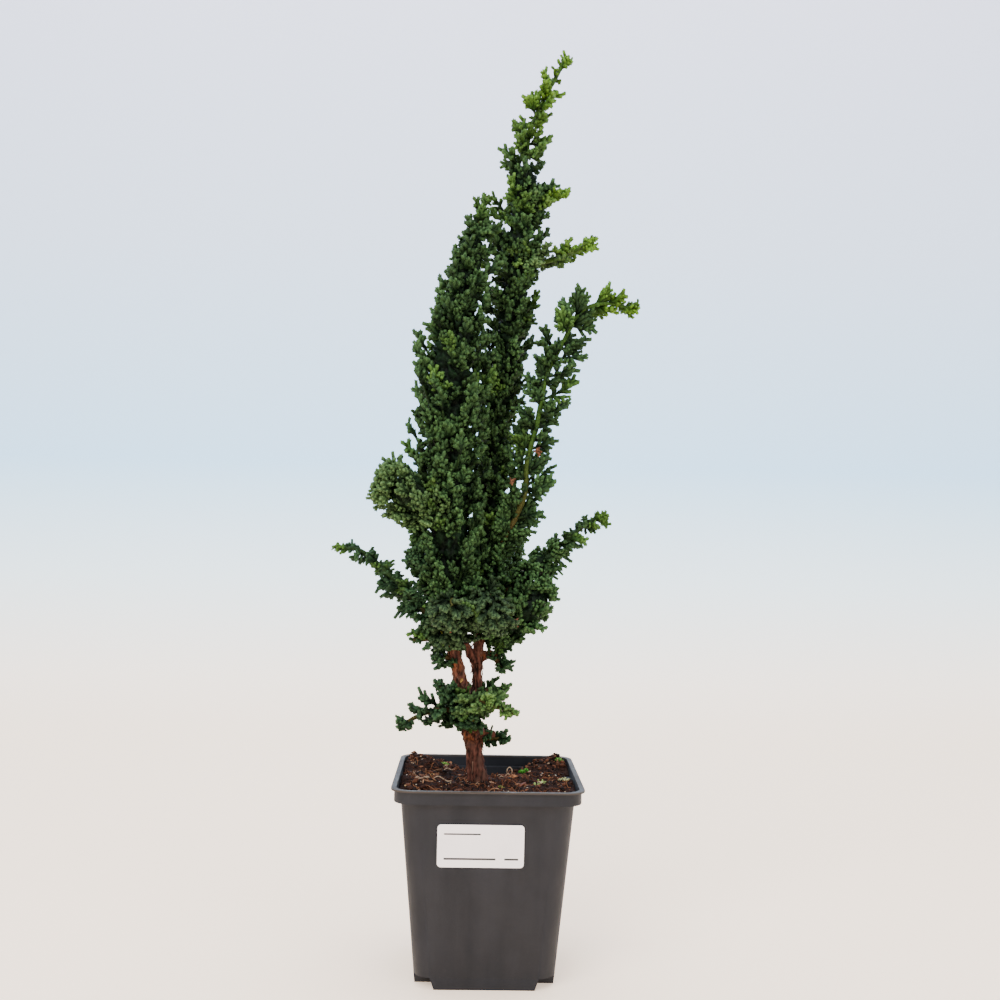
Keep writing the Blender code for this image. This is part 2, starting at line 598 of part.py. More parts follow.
def twig_mesh():
    """A leafy twig along +Z, in millimetres: a three-sided stem, cut into bands, with two blunt buds
    raised from each band, and the balls that stand for it when its room is measured."""
    length = TWIG_LENGTH
    bm = bmesh.new()
    bmesh.ops.create_cone(bm, cap_ends=True, segments=3, radius1=TWIG_ROOT_RADIUS, radius2=TWIG_TIP_RADIUS,
                          depth=length, matrix=Matrix.Translation((0, 0, length / 2)))
    cuts = [length * band / TWIG_BANDS for band in range(TWIG_BANDS)]
    for cut in cuts[1:]:
        geom = bm.verts[:] + bm.edges[:] + bm.faces[:]
        bmesh.ops.bisect_plane(bm, geom=geom, plane_co=(0, 0, cut), plane_no=(0, 0, 1))
    tip = [f for f in bm.faces if f.normal.z > 0.9]
    poked = bmesh.ops.poke(bm, faces=tip)
    poked["verts"][0].co.z += TIP_RISE
    side_faces = [f for f in bm.faces if abs(f.normal.z) < 0.5 and len(f.verts) == 4]
    bmesh.ops.triangulate(bm, faces=side_faces)
    balls = [(Vector((0, 0, length * i / 6)), TWIG_ROOT_RADIUS) for i in range(7)]
    chosen = []
    for band, cut in enumerate(cuts):
        above = cut + length / TWIG_BANDS
        for side in (band % 3, (band + 1) % 3):
            angle = math.radians(30 + 120 * side)
            outward = Vector((math.cos(angle), math.sin(angle), 0))
            near = [f for f in bm.faces if f.normal.dot(outward) > 0.9
                    and cut < f.calc_center_median().z < above]
            chosen.append((max(near, key=lambda f: f.calc_center_median().z), outward))
    for face, outward in chosen:
        made = bmesh.ops.extrude_discrete_faces(bm, faces=[face])["faces"][0]
        start = made.calc_center_median()
        radius = max((v.co - start).length for v in made.verts)
        lean = math.radians(BUD_LEAN)
        move = (outward * math.sin(lean) + Vector((0, 0, math.cos(lean)))) * BUD_LENGTH
        for v in made.verts:
            v.co = start + (v.co - start) * BUD_TAPER + move
        for i in range(4):
            balls.append((start + move * i / 3, radius * (1 - (1 - BUD_TAPER) * i / 3)))
    mesh = bpy.data.meshes.new("twig")
    bm.to_mesh(mesh)
    bm.free()
    return mesh, balls, length + TIP_RISE


class Room:
    """The space that the finished pieces take up, as balls with an owner each."""

    def __init__(self):
        self.centres = np.zeros((0, 3))
        self.radii = np.zeros(0)
        self.owners = np.zeros(0, dtype=int)
        self.names = []

    def number(self, owner):
        if owner not in self.names:
            self.names.append(owner)
        return self.names.index(owner)

    def add(self, owner, balls):
        self.centres = np.vstack([self.centres, [tuple(centre) for centre, _ in balls]])
        self.radii = np.append(self.radii, [radius for _, radius in balls])
        self.owners = np.append(self.owners, [self.number(owner)] * len(balls))

    def touches(self, owner, balls):
        """Whether the balls come too near another owner's, and how many touch the owner's own twigs."""
        other = self.owners != self.number(owner)
        own_twig = self.owners == self.number(owner + OWN_TWIGS)
        own_touches = 0
        for centre, radius in balls:
            away = np.linalg.norm(self.centres - np.array(tuple(centre)), axis=1)
            near = away < self.radii + radius + TWIG_GAP
            if np.any(near & other & ~own_twig):
                return True, 0
            own_touches += int(np.any(near & own_twig))
        return False, own_touches


class Stem:
    """A shoot's centreline from its seat on the parent to its tip, with a frame that turns with it."""

    def __init__(self, shoot, parent_surface):
        self.shoot = shoot
        self.surface = parent_surface
        path = smooth_path([tuple(c * MM for c in point) for point in shoot.path], FINE_STEP)
        start = self.seat(path)
        fractions = path_fractions(path)
        self.path = path[start:]
        self.fractions = fractions[start:]
        self.frames = self.turning_frames()

    def core_radius(self, fraction):
        return read_row(self.shoot.core, fraction)[0] * MM

    def seat(self, path):
        """The first point from which the stem's end face is clear of the parent by the usual gap."""
        fractions = path_fractions(path)
        for i in range(len(path) - 3):
            ahead = min(i + self.ring_step(fractions[i]), len(path) - 1)
            along = (path[ahead] - path[i]).normalized()
            side = along.orthogonal().normalized()
            radius = self.core_radius(fractions[i])
            turns = [Matrix.Rotation(math.radians(45 * k), 3, along) for k in range(8)]
            probes = [path[i], *[path[i] + turn @ side * radius for turn in turns]]
            nearest = [self.surface.find_nearest(point) for point in probes]
            outside = all((point - hit[0]).dot(hit[1]) > 0 for point, hit in zip(probes, nearest))
            if outside and min(hit[3] for hit in nearest) > GAP:
                return i
        return 0

    def turning_frames(self):
        along = (self.path[1] - self.path[0]).normalized()
        across = Vector((1, 0, 0)) if abs(along.x) < 0.8 else Vector((0, 1, 0))
        frames = []
        for i, point in enumerate(self.path):
            behind = self.path[max(i - 1, 0)]
            ahead = self.path[min(i + 1, len(self.path) - 1)]
            along = (ahead - behind).normalized()
            across = (across - along * across.dot(along)).normalized()
            frames.append((along, across, along.cross(across)))
        return frames

    def at(self, fraction):
        index = int(np.searchsorted(self.fractions, fraction))
        index = min(index, len(self.path) - 1)
        return self.path[index], self.frames[index]

    def balls(self):
        samples = zip(self.path[::BALL_STEP], self.fractions[::BALL_STEP])
        balls = [(point, self.core_radius(fraction)) for point, fraction in samples]
        root = self.path[0] - self.frames[0][0] * FINE_STEP * BALL_STEP
        return [(root, balls[0][1]), *balls]

    def is_bushy(self, fraction):
        return self.core_radius(fraction) >= BUSHY_CORE * MM

    def ring_step(self, fraction):
        """How many points of the path lie between one ring of the core and the next."""
        return round((BUSHY_STEP if self.is_bushy(fraction) else SLIM_STEP) / FINE_STEP)

    def core_mesh(self):
        """The core, with rings that lie closer where it is bushy."""
        picks = [0]
        last = len(self.path) - 1
        while picks[-1] < last:
            step = self.ring_step(self.fractions[picks[-1]])
            ahead = picks[-1] + step
            picks.append(last if last - ahead < step / 2 else ahead)
        points = [self.path[i] for i in picks]
        radii = [self.core_radius(self.fractions[i]) for i in picks]
        mesh = tube_mesh(self.shoot.name, points, radii, self.shoot.sides, CORE_TWIST)
        self.shape_seat(mesh)
        self.roughen(mesh)
        return mesh

    def roughen(self, mesh):
        """Shift the corners of the bushy part a little, at random."""
        rng = random.Random(self.shoot.seed)
        bm = bmesh.new()
        bm.from_mesh(mesh)
        for v in bm.verts:
            shift = CORE_SHIFT * min(e.calc_length() for e in v.link_edges)
            if all(self.is_bushy_facet(f) for f in v.link_faces):
                v.co += Vector((rng.uniform(-1, 1), rng.uniform(-1, 1), rng.uniform(-1, 1))) * shift
        bm.to_mesh(mesh)
        bm.free()

    def is_bushy_facet(self, face):
        return len(face.verts) == 4 and self.is_bushy(self.nearest(face.calc_center_median())[0])

    def shape_seat(self, mesh):
        """Carry the end face back, corner by corner, to just off the parent's surface."""
        bm = bmesh.new()
        bm.from_mesh(mesh)
        bm.normal_update()
        end = min(bm.faces, key=lambda f: (f.calc_center_median() - self.path[0]).length)
        back = end.normal.copy()
        corners = list(end.verts)
        middle = bmesh.ops.poke(bm, faces=[end])["verts"]
        for v in corners + middle:
            distance = self.surface.ray_cast(v.co, back, SEAT_RANGE)[3] or 0
            for _ in range(int(distance / SEAT_STEP)):
                if self.surface.find_nearest(v.co)[3] < SEAT_GAP:
                    break
                v.co += back * SEAT_STEP
        bm.to_mesh(mesh)
        bm.free()

    def nearest(self, point):
        """The fraction, centreline point and frame that lie nearest to a point."""
        index = min(range(len(self.path)), key=lambda i: (self.path[i] - point).length_squared)
        return self.fractions[index], self.path[index], self.frames[index]


def reach_at(shoot, fraction, angle):
    """How far the twigs stand out from the centreline at a fraction of it and an angle round it."""
    left, right, depth = read_row(shoot.reach, fraction)
    sideways = right if math.cos(angle) > 0 else left
    return MM / math.sqrt((math.cos(angle) / sideways) ** 2 + (math.sin(angle) / depth) ** 2)


def raise_tufts(ob, shoot, stem, room):
    """Raise each facet of the bushy core as a tuft with a blunt edge, as far as there is room."""
    rng = random.Random(shoot.seed)
    bm = bmesh.new()
    bm.from_mesh(ob.data)
    for face in [f for f in bm.faces if stem.is_bushy_facet(f)]:
        centre = face.calc_center_median()
        fraction, point, (along, across, behind) = stem.nearest(centre)
        vary = rng.uniform(*TUFT_REACH)
        lean = math.radians(rng.uniform(*TUFT_LEAN))
        sway = rng.uniform(-TUFT_SWAY, TUFT_SWAY)
        pairing = rng.randrange(2)
        radial = centre - point
        radial = (radial - along * radial.dot(along)).normalized()
        angle = math.atan2(radial.dot(behind), radial.dot(across))
        side = along.cross(radial)
        stand_out = reach_at(shoot, fraction, angle) - (centre - point).length
        move = (radial + along / math.tan(lean) + side * sway) * stand_out * vary
        radius = max((v.co - centre).length for v in face.verts)
        for scale in TUFT_SCALES:
            balls = [(centre + move * scale * i / 5, radius * (1 - (1 - TUFT_TIP) * i / 5))
                     for i in range(1, 6)]
            if not room.touches(shoot.name, balls)[0]:
                top = bmesh.ops.extrude_discrete_faces(bm, faces=[face])["faces"][0]
                a, b, c, d = (top.verts[(i + pairing) % 4] for i in range(4))
                for near, far in ((a, b), (c, d)):
                    middle = (near.co + far.co) / 2
                    near.co = centre + (middle - centre) * TUFT_TIP + move * scale
                bmesh.ops.weld_verts(bm, targetmap={b: a, d: c})
                room.add(shoot.name, balls)
                break
    bm.to_mesh(ob.data)
    bm.free()


def twig_places(shoot, stem):
    """Root, direction and length of each twig, in a spiral from the shoot's seat to its tip. They are
    closer together where the stem is bare."""
    rng = random.Random(shoot.seed + 100)
    bushy_end = min(read_row(shoot.reach, 1.0)) > BUSHY_END
    weights = np.cumsum([1 if stem.is_bushy(f) else SLIM_WEIGHT for f in stem.fractions])
    places = []
    for i in range(shoot.twigs):
        is_tip = i == shoot.twigs - 1
        share = (i + 0.6) / shoot.twigs
        fraction = 1.0 if is_tip else float(np.interp(share * weights[-1], weights, stem.fractions))
        angle = math.radians(i * shoot.turn + rng.uniform(-JITTER, JITTER))
        point, (along, across, behind) = stem.at(fraction)
        radial = across * math.cos(angle) + behind * math.sin(angle)
        near_tip = min(1.0, (1 - fraction) / 0.15)
        lean = math.radians(shoot.lean * (0.35 + 0.65 * near_tip) + rng.uniform(-6, 6))
        direction = (along * math.cos(lean) + radial * math.sin(lean)).normalized()
        core = stem.core_radius(fraction)
        root = point if is_tip else point + radial * max(core - SINK, 0)
        if is_tip:
            direction = along
            root = point - along * (BUSHY_TIP_BACK if bushy_end else SLIM_TIP_BACK)
            length = TWIG_RANGE[0] * MM
        else:
            stand_out = reach_at(shoot, fraction, angle) - (root - point).length
            length = stand_out / max(math.sin(lean), 0.5)
        low, high = (value * MM for value in TWIG_RANGE)
        length = min(max(length, low), high)
        if not is_tip and not bushy_end:
            past_end = length * math.cos(lean) - (stem.path[-1] - point).length - PAST_END
            root = root - along * max(past_end, 0)
        places.append((root, direction, length, rng.uniform(0, 120)))
    return places


def build_shoots(collection, materials, wood):
    """All the leafy shoots: first every core, each seated on its parent, then the twigs."""
    twig_shape, balls, length = twig_mesh()
    surfaces = {"wood": surface_of(wood.data)}
    room = Room()
    for row in (TRUNK, LEFT_WOOD, RIGHT_WOOD, *STUBS):
        room.add("wood", list(zip(*limb_path(row, FINE_STEP * BALL_STEP))))
    stems = {}
    cores = {}
    for shoot in SHOOTS:
        stem = Stem(shoot, surfaces[shoot.parent])
        mesh = stem.core_mesh()
        surfaces[shoot.name] = surface_of(mesh)
        stems[shoot.name] = stem
        cores[shoot.name] = add_object(shoot.name, mesh, collection)
        room.add(shoot.name, stem.balls())
    for shoot in SHOOTS:
        raise_tufts(cores[shoot.name], shoot, stems[shoot.name], room)
    for shoot in SHOOTS:
        twigs = []
        for root, direction, wanted, roll in twig_places(shoot, stems[shoot.name]):
            turn_to = direction.to_track_quat("Z", "Y").to_matrix().to_4x4()
            for scale in TWIG_SCALES:
                size = wanted / length * scale
                tries = []
                for turn in TWIG_TURNS:
                    spin = Matrix.Rotation(math.radians(roll + turn), 4, "Z")
                    grow = Matrix.Diagonal((size, size, size, 1))
                    place = Matrix.Translation(root) @ turn_to @ spin @ grow
                    placed = [(place @ centre, radius * size) for centre, radius in balls]
                    blocked, own_touches = room.touches(shoot.name, placed)
                    if not blocked:
                        tries.append((own_touches, turn, place, placed))
                if tries:
                    _, _, place, placed = min(tries, key=lambda each: each[:2])
                    room.add(shoot.name + OWN_TWIGS, placed)
                    twig = add_object("twig", twig_shape, collection)
                    twig.matrix_world = place
                    twigs.append(twig)
                    break
        ob = cores[shoot.name]
        combine(ob, twigs, "UNION", "MANIFOLD")
        keep_largest_body(ob.data)
        ob.data.materials.clear()
        ob.data.materials.append(materials[shoot.colour])


def main():
    clear_scene()
    collection = bpy.data.collections.new("hinoki_cypress_bonsai")
    bpy.context.scene.collection.children.link(collection)
    materials = {name: make_material(name) for name in COLOURS}
    build_pot(collection, materials["pot_plastic"])
    build_label(collection, materials["label_paper"])
    build_soil(collection, materials["soil"])
    wood = build_wood(collection, materials["bark"])
    build_shoots(collection, materials, wood)


main()
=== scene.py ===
"""Hinoki cypress bonsai in its square nursery pot: the looks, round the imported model.

Metres, +Z up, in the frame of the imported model. Each shoot grows along the solid that it stands for, or
close to it, as sprigs of blunt rods of scale leaves.
"""
import json
import math
import random
from collections import namedtuple

import bmesh
import bpy
import numpy as np
from mathutils import Matrix, Vector, noise

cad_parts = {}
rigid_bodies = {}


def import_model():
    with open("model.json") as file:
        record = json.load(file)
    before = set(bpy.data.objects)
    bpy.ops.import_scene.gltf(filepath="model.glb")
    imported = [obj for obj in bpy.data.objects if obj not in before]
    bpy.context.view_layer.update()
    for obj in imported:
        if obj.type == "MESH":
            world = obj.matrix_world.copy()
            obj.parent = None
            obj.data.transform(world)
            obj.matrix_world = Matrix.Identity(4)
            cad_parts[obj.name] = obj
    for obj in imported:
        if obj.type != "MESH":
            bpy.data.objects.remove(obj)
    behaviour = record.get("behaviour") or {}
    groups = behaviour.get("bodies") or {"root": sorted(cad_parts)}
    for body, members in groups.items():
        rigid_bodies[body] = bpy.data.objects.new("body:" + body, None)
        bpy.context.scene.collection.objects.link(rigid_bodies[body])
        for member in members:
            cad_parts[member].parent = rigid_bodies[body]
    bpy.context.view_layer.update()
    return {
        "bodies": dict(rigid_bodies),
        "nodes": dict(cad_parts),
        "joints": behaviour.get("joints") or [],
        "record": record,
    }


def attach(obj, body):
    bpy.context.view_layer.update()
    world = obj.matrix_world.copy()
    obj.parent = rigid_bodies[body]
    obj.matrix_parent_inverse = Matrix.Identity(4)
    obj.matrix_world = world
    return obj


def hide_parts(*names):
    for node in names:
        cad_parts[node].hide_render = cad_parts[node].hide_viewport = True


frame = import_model()

MM = 0.001
UP = np.array([0, 0, 1.0])
GAP = 0.3 * MM
SEED = 7
FULL_TURN = 6.28

# Camera, fitted to the photograph
CAMERA_PLACE = (-0.01002, -0.56396, 0.21018)
CAMERA_FORWARD = (0.02428934, 0.99915954, 0.03301884)
CAMERA_UP = (-0.00080, -0.03301, 0.99945)
CAMERA_ROLL = 0.0199
CAMERA_LENS = 40.67
SENSOR_WIDTH = 36

# Pot
POT_HEIGHT = 93.8 * MM
LIP_HALF = 45.0 * MM
LIP_THICK = 0.8 * MM
BAND_HALF = 43.6 * MM
BAND_BOTTOM = 87.4 * MM
WALL_TOP_HALF = 40.6 * MM
FOOT_HALF = 33.3 * MM
FOOT_HEIGHT = 5.5 * MM
POT_CORNER = 9.0 * MM
CORNER_STEPS = 10
WALL = 1.0 * MM
FLOOR = 1.2 * MM
WALL_SLOPE = (WALL_TOP_HALF - FOOT_HALF) / (BAND_BOTTOM - FOOT_HEIGHT)
ARM_TOP_HALF = 25.5 * MM
ARM_FOOT_HALF = 23.5 * MM
DRAIN_OFFSET = 27.9 * MM
DRAIN_HALF = 1.7 * MM
DRAIN_DEPTH = 2 * MM
DRAIN_RISE = 3 * MM
BLOCK_OVERLAP = 1 * MM
MOUTH_RISE = 8 * MM
POT_EDGE = 0.22 * MM

# Label
LABEL_SIZE = (40.0 * MM, 20.0 * MM)
LABEL_THICK = 0.25 * MM
LABEL_CORNER = 1.8 * MM
LABEL_X = -3.0 * MM
LABEL_HEIGHT = 68.0 * MM
SHEET_STEPS = 8

# Soil surface: a mean level with broad heaps and dips (x, y, height, radius)
SOIL_LEVEL = 88.3 * MM
SOIL_HEAPS = (
    (-33 * MM, 31 * MM, 5.6 * MM, 13 * MM),
    (34 * MM, 33 * MM, 5.4 * MM, 11 * MM),
    (-36 * MM, -6 * MM, 3.6 * MM, 14 * MM),
    (36 * MM, -8 * MM, 2.2 * MM, 13 * MM),
    (2 * MM, -34 * MM, 1.6 * MM, 18 * MM),
    (2 * MM, 38 * MM, -4.4 * MM, 17 * MM),
)
SOIL_LUMP = 0.8 * MM
SOIL_FINE_CELLS = 104
SOIL_UNDERSIDE = -10 * MM
SOIL_GRID_HALF = 50 * MM
TRUNK_FOOT = (-4.4 * MM, 5.0 * MM)
TRUNK_FOOT_RADIUS = 5.9 * MM

# Wood: centreline points (x, y, z, radius) in millimetres
TRUNK = (
    (-4.4, 5, 62.4, 5.9), (-4.4, 5, 86, 5.9), (-4.6, 4.8, 90, 5.1), (-5.7, 4, 97, 4.35), (-7.1, 3, 106, 3.8),
    (-7.4, 3, 110, 4.9), (-7.8, 2.8, 113.5, 4.6), (-8.6, 2, 118, 3.9), (-10, 1, 126, 3.9),
)
LEFT_WOOD = (
    (-9.6, 1, 121, 3.3), (-13, -2, 134, 3.1), (-16, -5, 147, 2.95), (-19, -7, 159, 2.9), (-21, -8, 172, 2.7),
)
RIGHT_WOOD = (
    (-9.4, 1, 121, 3.0), (-6, 3, 135, 2.45), (-6, 4, 144, 2.4), (-5.5, 6, 154, 2.5), (-4, 8, 171, 2.3),
)
STUBS = (
    ((-6, 5.2, 149, 2.9), (-1, 6, 151, 2.2), (3.5, 5, 151.5, 1.7)),
    ((-6, 4.5, 146, 2.3), (-9.5, 3, 152, 2.2), (-12, 2, 157, 1.8)),
    ((-7.4, 3, 111, 2.6), (-12.4, 1.2, 113.2, 2.0)),
    ((-7.4, 3, 111, 2.6), (-1.6, 2.4, 112.6, 1.9)),
)

# Shoots, in millimetres. lean is the angle between a twig and the stem, and turn the angle from one twig
# to the next round it, in degrees. path is the stem's centreline, starting inside what it grows from. core
# is (fraction of the path, radius). reach is (fraction, left, right, depth): how far the leaves stand out
# from the centreline. A number left out at the end of a row is the same as the last one given.
Shoot = namedtuple("Shoot", "name colour seed lean turn path core reach")
Sprig = namedtuple("Sprig", "kind place size thick direction fan bend young depth light")
SPIRAL = 137.5
OPPOSITE = 180.0
DARK, MID, BRIGHT, GREY = "leaf_dark", "leaf_mid", "leaf_bright", "leaf_grey"
SHOOTS = (
    Shoot("left_leader", MID, 11, 60, SPIRAL,
          ((-21, -8, 170), (-21, -9, 199), (-22, -10, 238), (-22, -10, 277), (-20, -9, 312), (-16, -7, 342),
           (-9, -5, 368), (-6, -4, 380)),
          ((0, 2.2), (0.1, 7), (0.3, 10), (0.5, 11), (0.66, 9), (0.82, 6.5), (0.93, 2.4), (1, 1.1)),
          ((0, 12, 11, 12), (0.1, 19, 17), (0.32, 19, 19, 18), (0.5, 22.5, 20, 18), (0.66, 18.5, 21, 16),
           (0.82, 11.5, 16.5, 12), (0.94, 6, 11, 7), (1, 3))),
    Shoot("right_leader", MID, 12, 58, SPIRAL,
          ((-4, 8, 169), (-2, 10, 209), (0, 11, 239), (2, 12, 265), (5, 12, 288), (7, 12, 313),
           (11, 11, 353), (13, 10, 383), (15, 8, 415), (22, 6, 434), (28, 5, 445), (33, 4, 456)),
          ((0, 1.9), (0.1, 6), (0.25, 6), (0.35, 4), (0.5, 5.5), (0.62, 6), (0.75, 5), (0.83, 2.6),
           (0.9, 1.5), (1, 1.0)),
          ((0, 8, 11, 12), (0.13, 11, 13, 15), (0.24, 10, 12, 14), (0.33, 13, 7, 11), (0.41, 13, 9, 12),
           (0.5, 16, 14, 12), (0.63, 18.5, 12, 13), (0.74, 18, 13.5, 12), (0.8, 11, 14, 10),
           (0.84, 13, 14, 10), (0.9, 12, 11, 9), (0.95, 9, 7, 6), (1, 3))),
    Shoot("green_shoot", MID, 13, 56, OPPOSITE,
          ((-2, 9, 199), (7, 3, 211), (13, -1, 224), (16, -2, 233), (17, -3, 249), (21, -3, 266),
           (24, -3, 283), (26, -3, 292), (30, -3, 301), (34, -3, 309), (38, -3, 317), (44, -4, 325),
           (56, -5, 328), (70, -6, 324)),
          ((0, 1.7), (0.1, 1.8), (0.2, 3.5), (0.34, 2.6), (0.45, 1.5), (0.8, 1.3), (1, 0.9)),
          ((0, 6, 8), (0.2, 10, 13), (0.34, 11, 13, 12), (0.45, 12, 12, 9), (0.55, 11, 15, 8),
           (0.66, 10, 15, 8), (0.75, 13, 13, 9), (0.83, 12, 12, 9), (0.92, 9, 9, 8), (1, 4))),
    Shoot("left_lobe", BRIGHT, 14, 55, SPIRAL,
          ((-22, -10, 218), (-32, -13, 225), (-41, -16, 231), (-49.5, -17, 234)),
          ((0, 2), (0.4, 2.6), (0.56, 8), (0.8, 9), (1, 6)),
          ((0, 6), (0.35, 14), (0.7, 18), (1, 14))),
    Shoot("left_tuft", DARK, 15, 45, SPIRAL,
          ((-21, -9, 190), (-29, -11, 195), (-36, -12, 200)),
          ((0, 1.6), (0.5, 1.8), (0.75, 4), (1, 2.5)),
          ((0, 4), (0.5, 8), (1, 8))),
    Shoot("left_arch", DARK, 16, 42, OPPOSITE,
          ((-19.5, -7.3, 162), (-30, -10, 171), (-42, -12, 183), (-55, -14, 196), (-65, -15, 203),
           (-75, -17, 203)),
          ((0, 1.6), (0.15, 1.7), (0.3, 3), (0.6, 1.6), (1, 0.9)),
          ((0, 4), (0.25, 9), (0.6, 7), (1, 3))),
    Shoot("right_arch", MID, 17, 45, SPIRAL,
          ((-3, 8, 180), (10, 4, 185), (24, 2, 197), (39, 0, 211), (50, -1.4, 219.5), (57, -2, 221)),
          ((0, 1.6), (0.2, 1.8), (0.4, 5), (0.65, 2), (1, 0.9)),
          ((0, 6), (0.4, 12), (0.7, 7), (1, 3))),
    Shoot("skirt_right", MID, 18, 50, SPIRAL,
          ((-5, 7, 160), (6, 2, 167), (17, -4, 174), (26, -7, 184)),
          ((0, 1.8), (0.25, 2), (0.45, 7), (0.75, 9), (1, 5)),
          ((0, 5), (0.4, 13, 14, 13), (0.75, 14, 15, 14), (1, 9))),
    Shoot("skirt_front_left", GREY, 19, 50, SPIRAL,
          ((-18.5, -6.8, 157), (-18.5, -17, 171), (-18.5, -27, 180), (-19, -34, 177)),
          ((0, 1.6), (0.25, 1.8), (0.5, 5), (0.75, 5.5), (1, 3)),
          ((0, 5), (0.4, 12, 12, 10), (0.75, 12, 12, 11), (1, 9, 9, 8))),
    Shoot("skirt_front_right", GREY, 20, 50, SPIRAL,
          ((-4.6, 7.4, 164), (-3, -7, 176), (-1, -21, 182), (1, -31, 175)),
          ((0, 1.4), (0.3, 1.8), (0.5, 4.5), (0.75, 5.5), (1, 3)),
          ((0, 4), (0.4, 10), (0.75, 12), (1, 9))),
    Shoot("skirt_back_left", DARK, 21, 50, SPIRAL,
          ((-21, -8, 184), (-27, 6, 188), (-32, 17, 192), (-33, 28, 200)),
          ((0, 1.6), (0.3, 1.8), (0.5, 6), (0.75, 7), (1, 4)),
          ((0, 5), (0.4, 12), (0.75, 13), (1, 10))),
    Shoot("skirt_back_right", MID, 22, 50, SPIRAL,
          ((-3, 8, 186), (4, 21, 188), (9, 32, 194), (9, 40, 204)),
          ((0, 1.6), (0.3, 1.8), (0.5, 6), (0.75, 7), (1, 4)),
          ((0, 5), (0.4, 12), (0.75, 13), (1, 10))),
    Shoot("crown_right_low", BRIGHT, 23, 45, OPPOSITE,
          ((11, 11, 351), (24, 7, 351), (37, 4, 355), (49, 1, 361)),
          ((0, 1.2), (0.5, 1.6), (1, 0.9)),
          ((0, 9), (0.5, 13, 13, 10), (1, 4))),
    Shoot("crown_right_high", BRIGHT, 24, 40, OPPOSITE,
          ((13, 10, 381), (24, 8, 382), (36, 6, 386)),
          ((0, 1.1), (1, 0.9)),
          ((0, 7), (0.6, 8, 8, 7), (1, 4))),
    Shoot("spray_left", DARK, 25, 40, SPIRAL,
          ((-18.5, -6.7, 157), (-27, -9, 160), (-38, -11, 159)),
          ((0, 1.3), (0.5, 1.8), (1, 0.9)),
          ((0, 4), (0.5, 6), (1, 4))),
    Shoot("tuft_left", DARK, 26, 50, SPIRAL,
          ((-16.5, -5.3, 149), (-22, -7, 151), (-28, -9, 150)),
          ((0, 1.3), (0.45, 1.4), (0.65, 2.6), (1, 1.5)),
          ((0, 4), (0.5, 7), (1, 5))),
    Shoot("tuft_right_high", DARK, 27, 45, SPIRAL,
          ((3, 5, 151.5), (6, 4, 156), (10, 3, 158)),
          ((0, 1.1), (1, 1.1)),
          ((0, 4), (0.5, 5), (1, 4))),
    Shoot("tuft_right_low", DARK, 28, 45, SPIRAL,
          ((2, 5.2, 151.4), (6, 2, 146), (11, 1, 145)),
          ((0, 1.1), (1, 1.1)),
          ((0, 4), (0.5, 5), (1, 4))),
    Shoot("low_left", DARK, 29, 44, SPIRAL,
          ((-9, 2, 119), (-19, -3, 124.5), (-31, -7, 123.5), (-44, -10, 117)),
          ((0, 1.5), (0.2, 1.6), (0.4, 4), (0.65, 2.4), (1, 0.9)),
          ((0, 5), (0.35, 11, 11, 10), (0.65, 8), (1, 3.5))),
    Shoot("low_left_high", DARK, 30, 42, SPIRAL,
          ((-11.5, -0.5, 129), (-19, -4, 133), (-26, -7, 139)),
          ((0, 1.3), (0.5, 2), (1, 1)),
          ((0, 4), (0.5, 7, 7, 6), (1, 4))),
    Shoot("low_front", BRIGHT, 31, 46, OPPOSITE,
          ((-9, 1, 122), (-7, -13, 129), (-2, -25, 132), (6, -31, 130), (13, -34, 128)),
          ((0, 1.5), (0.4, 3), (0.7, 1.7), (1, 0.9)),
          ((0, 5), (0.3, 10, 10, 8), (0.7, 8, 8, 6), (1, 3.5))),
    Shoot("low_front_under", DARK, 38, 45, SPIRAL,
          ((-8.5, 2, 118.6), (-9, -9, 121), (-7.5, -16, 122)),
          ((0, 1.4), (0.3, 1.8), (0.6, 3.4), (1, 2.4)),
          ((0, 4), (0.6, 8, 8, 7), (1, 6))),
    Shoot("low_right", MID, 33, 40, OPPOSITE,
          ((-7, 2.4, 131), (1, 2, 134), (10, -1, 136)),
          ((0, 1.1), (1, 0.9)),
          ((0, 4), (0.6, 5), (1, 3))),
    Shoot("low_right_tuft", DARK, 34, 45, SPIRAL,
          ((-7.5, 3, 110), (2, 3.6, 110), (10.5, 4, 109.5)),
          ((0, 1.1), (1, 1.0)),
          ((0, 4), (0.6, 5), (1, 4))),
    Shoot("low_back", DARK, 35, 45, SPIRAL,
          ((-9, 1.5, 122), (-12, 12, 126), (-13, 24, 126), (-11, 34, 121)),
          ((0, 1.6), (0.5, 3), (1, 1.2)),
          ((0, 5), (0.5, 10, 10, 9), (1, 5))),
)

# Young growth: the fraction of each stem from which its leaves turn yellow-green, and how much
YOUNG = {
    "right_leader": (0.80, 0.9),
    "green_shoot": (0.84, 1.0),
    "crown_right_low": (0.5, 0.9),
    "crown_right_high": (0.3, 0.8),
    "right_arch": (0.86, 0.5),
    "left_arch": (0.95, 0.4),
    "low_front": (0.3, 0.18),
    "left_leader": (0.93, 0.3),
}
YOUNG_RISE = 1.6
# How open the foliage is: the fraction from which it opens, and how many times thinner it gets
OPEN = {
    "right_leader": (0.70, 2.1),
    "left_leader": (0.86, 1.5),
    "green_shoot": (0.10, 2.0),
    "crown_right_low": (0.1, 1.5),
    "crown_right_high": (0.0, 1.4),
    "left_lobe": (0.2, 0.72),
    "skirt_right": (0.2, 0.85),
    "skirt_front_left": (0.2, 1.15),
    "skirt_front_right": (0.2, 1.15),
    "right_arch": (0.5, 1.1),
    "low_left": (0.2, 1.2),
    "low_front": (0.1, 1.2),
}
OPEN_RISE = 0.2
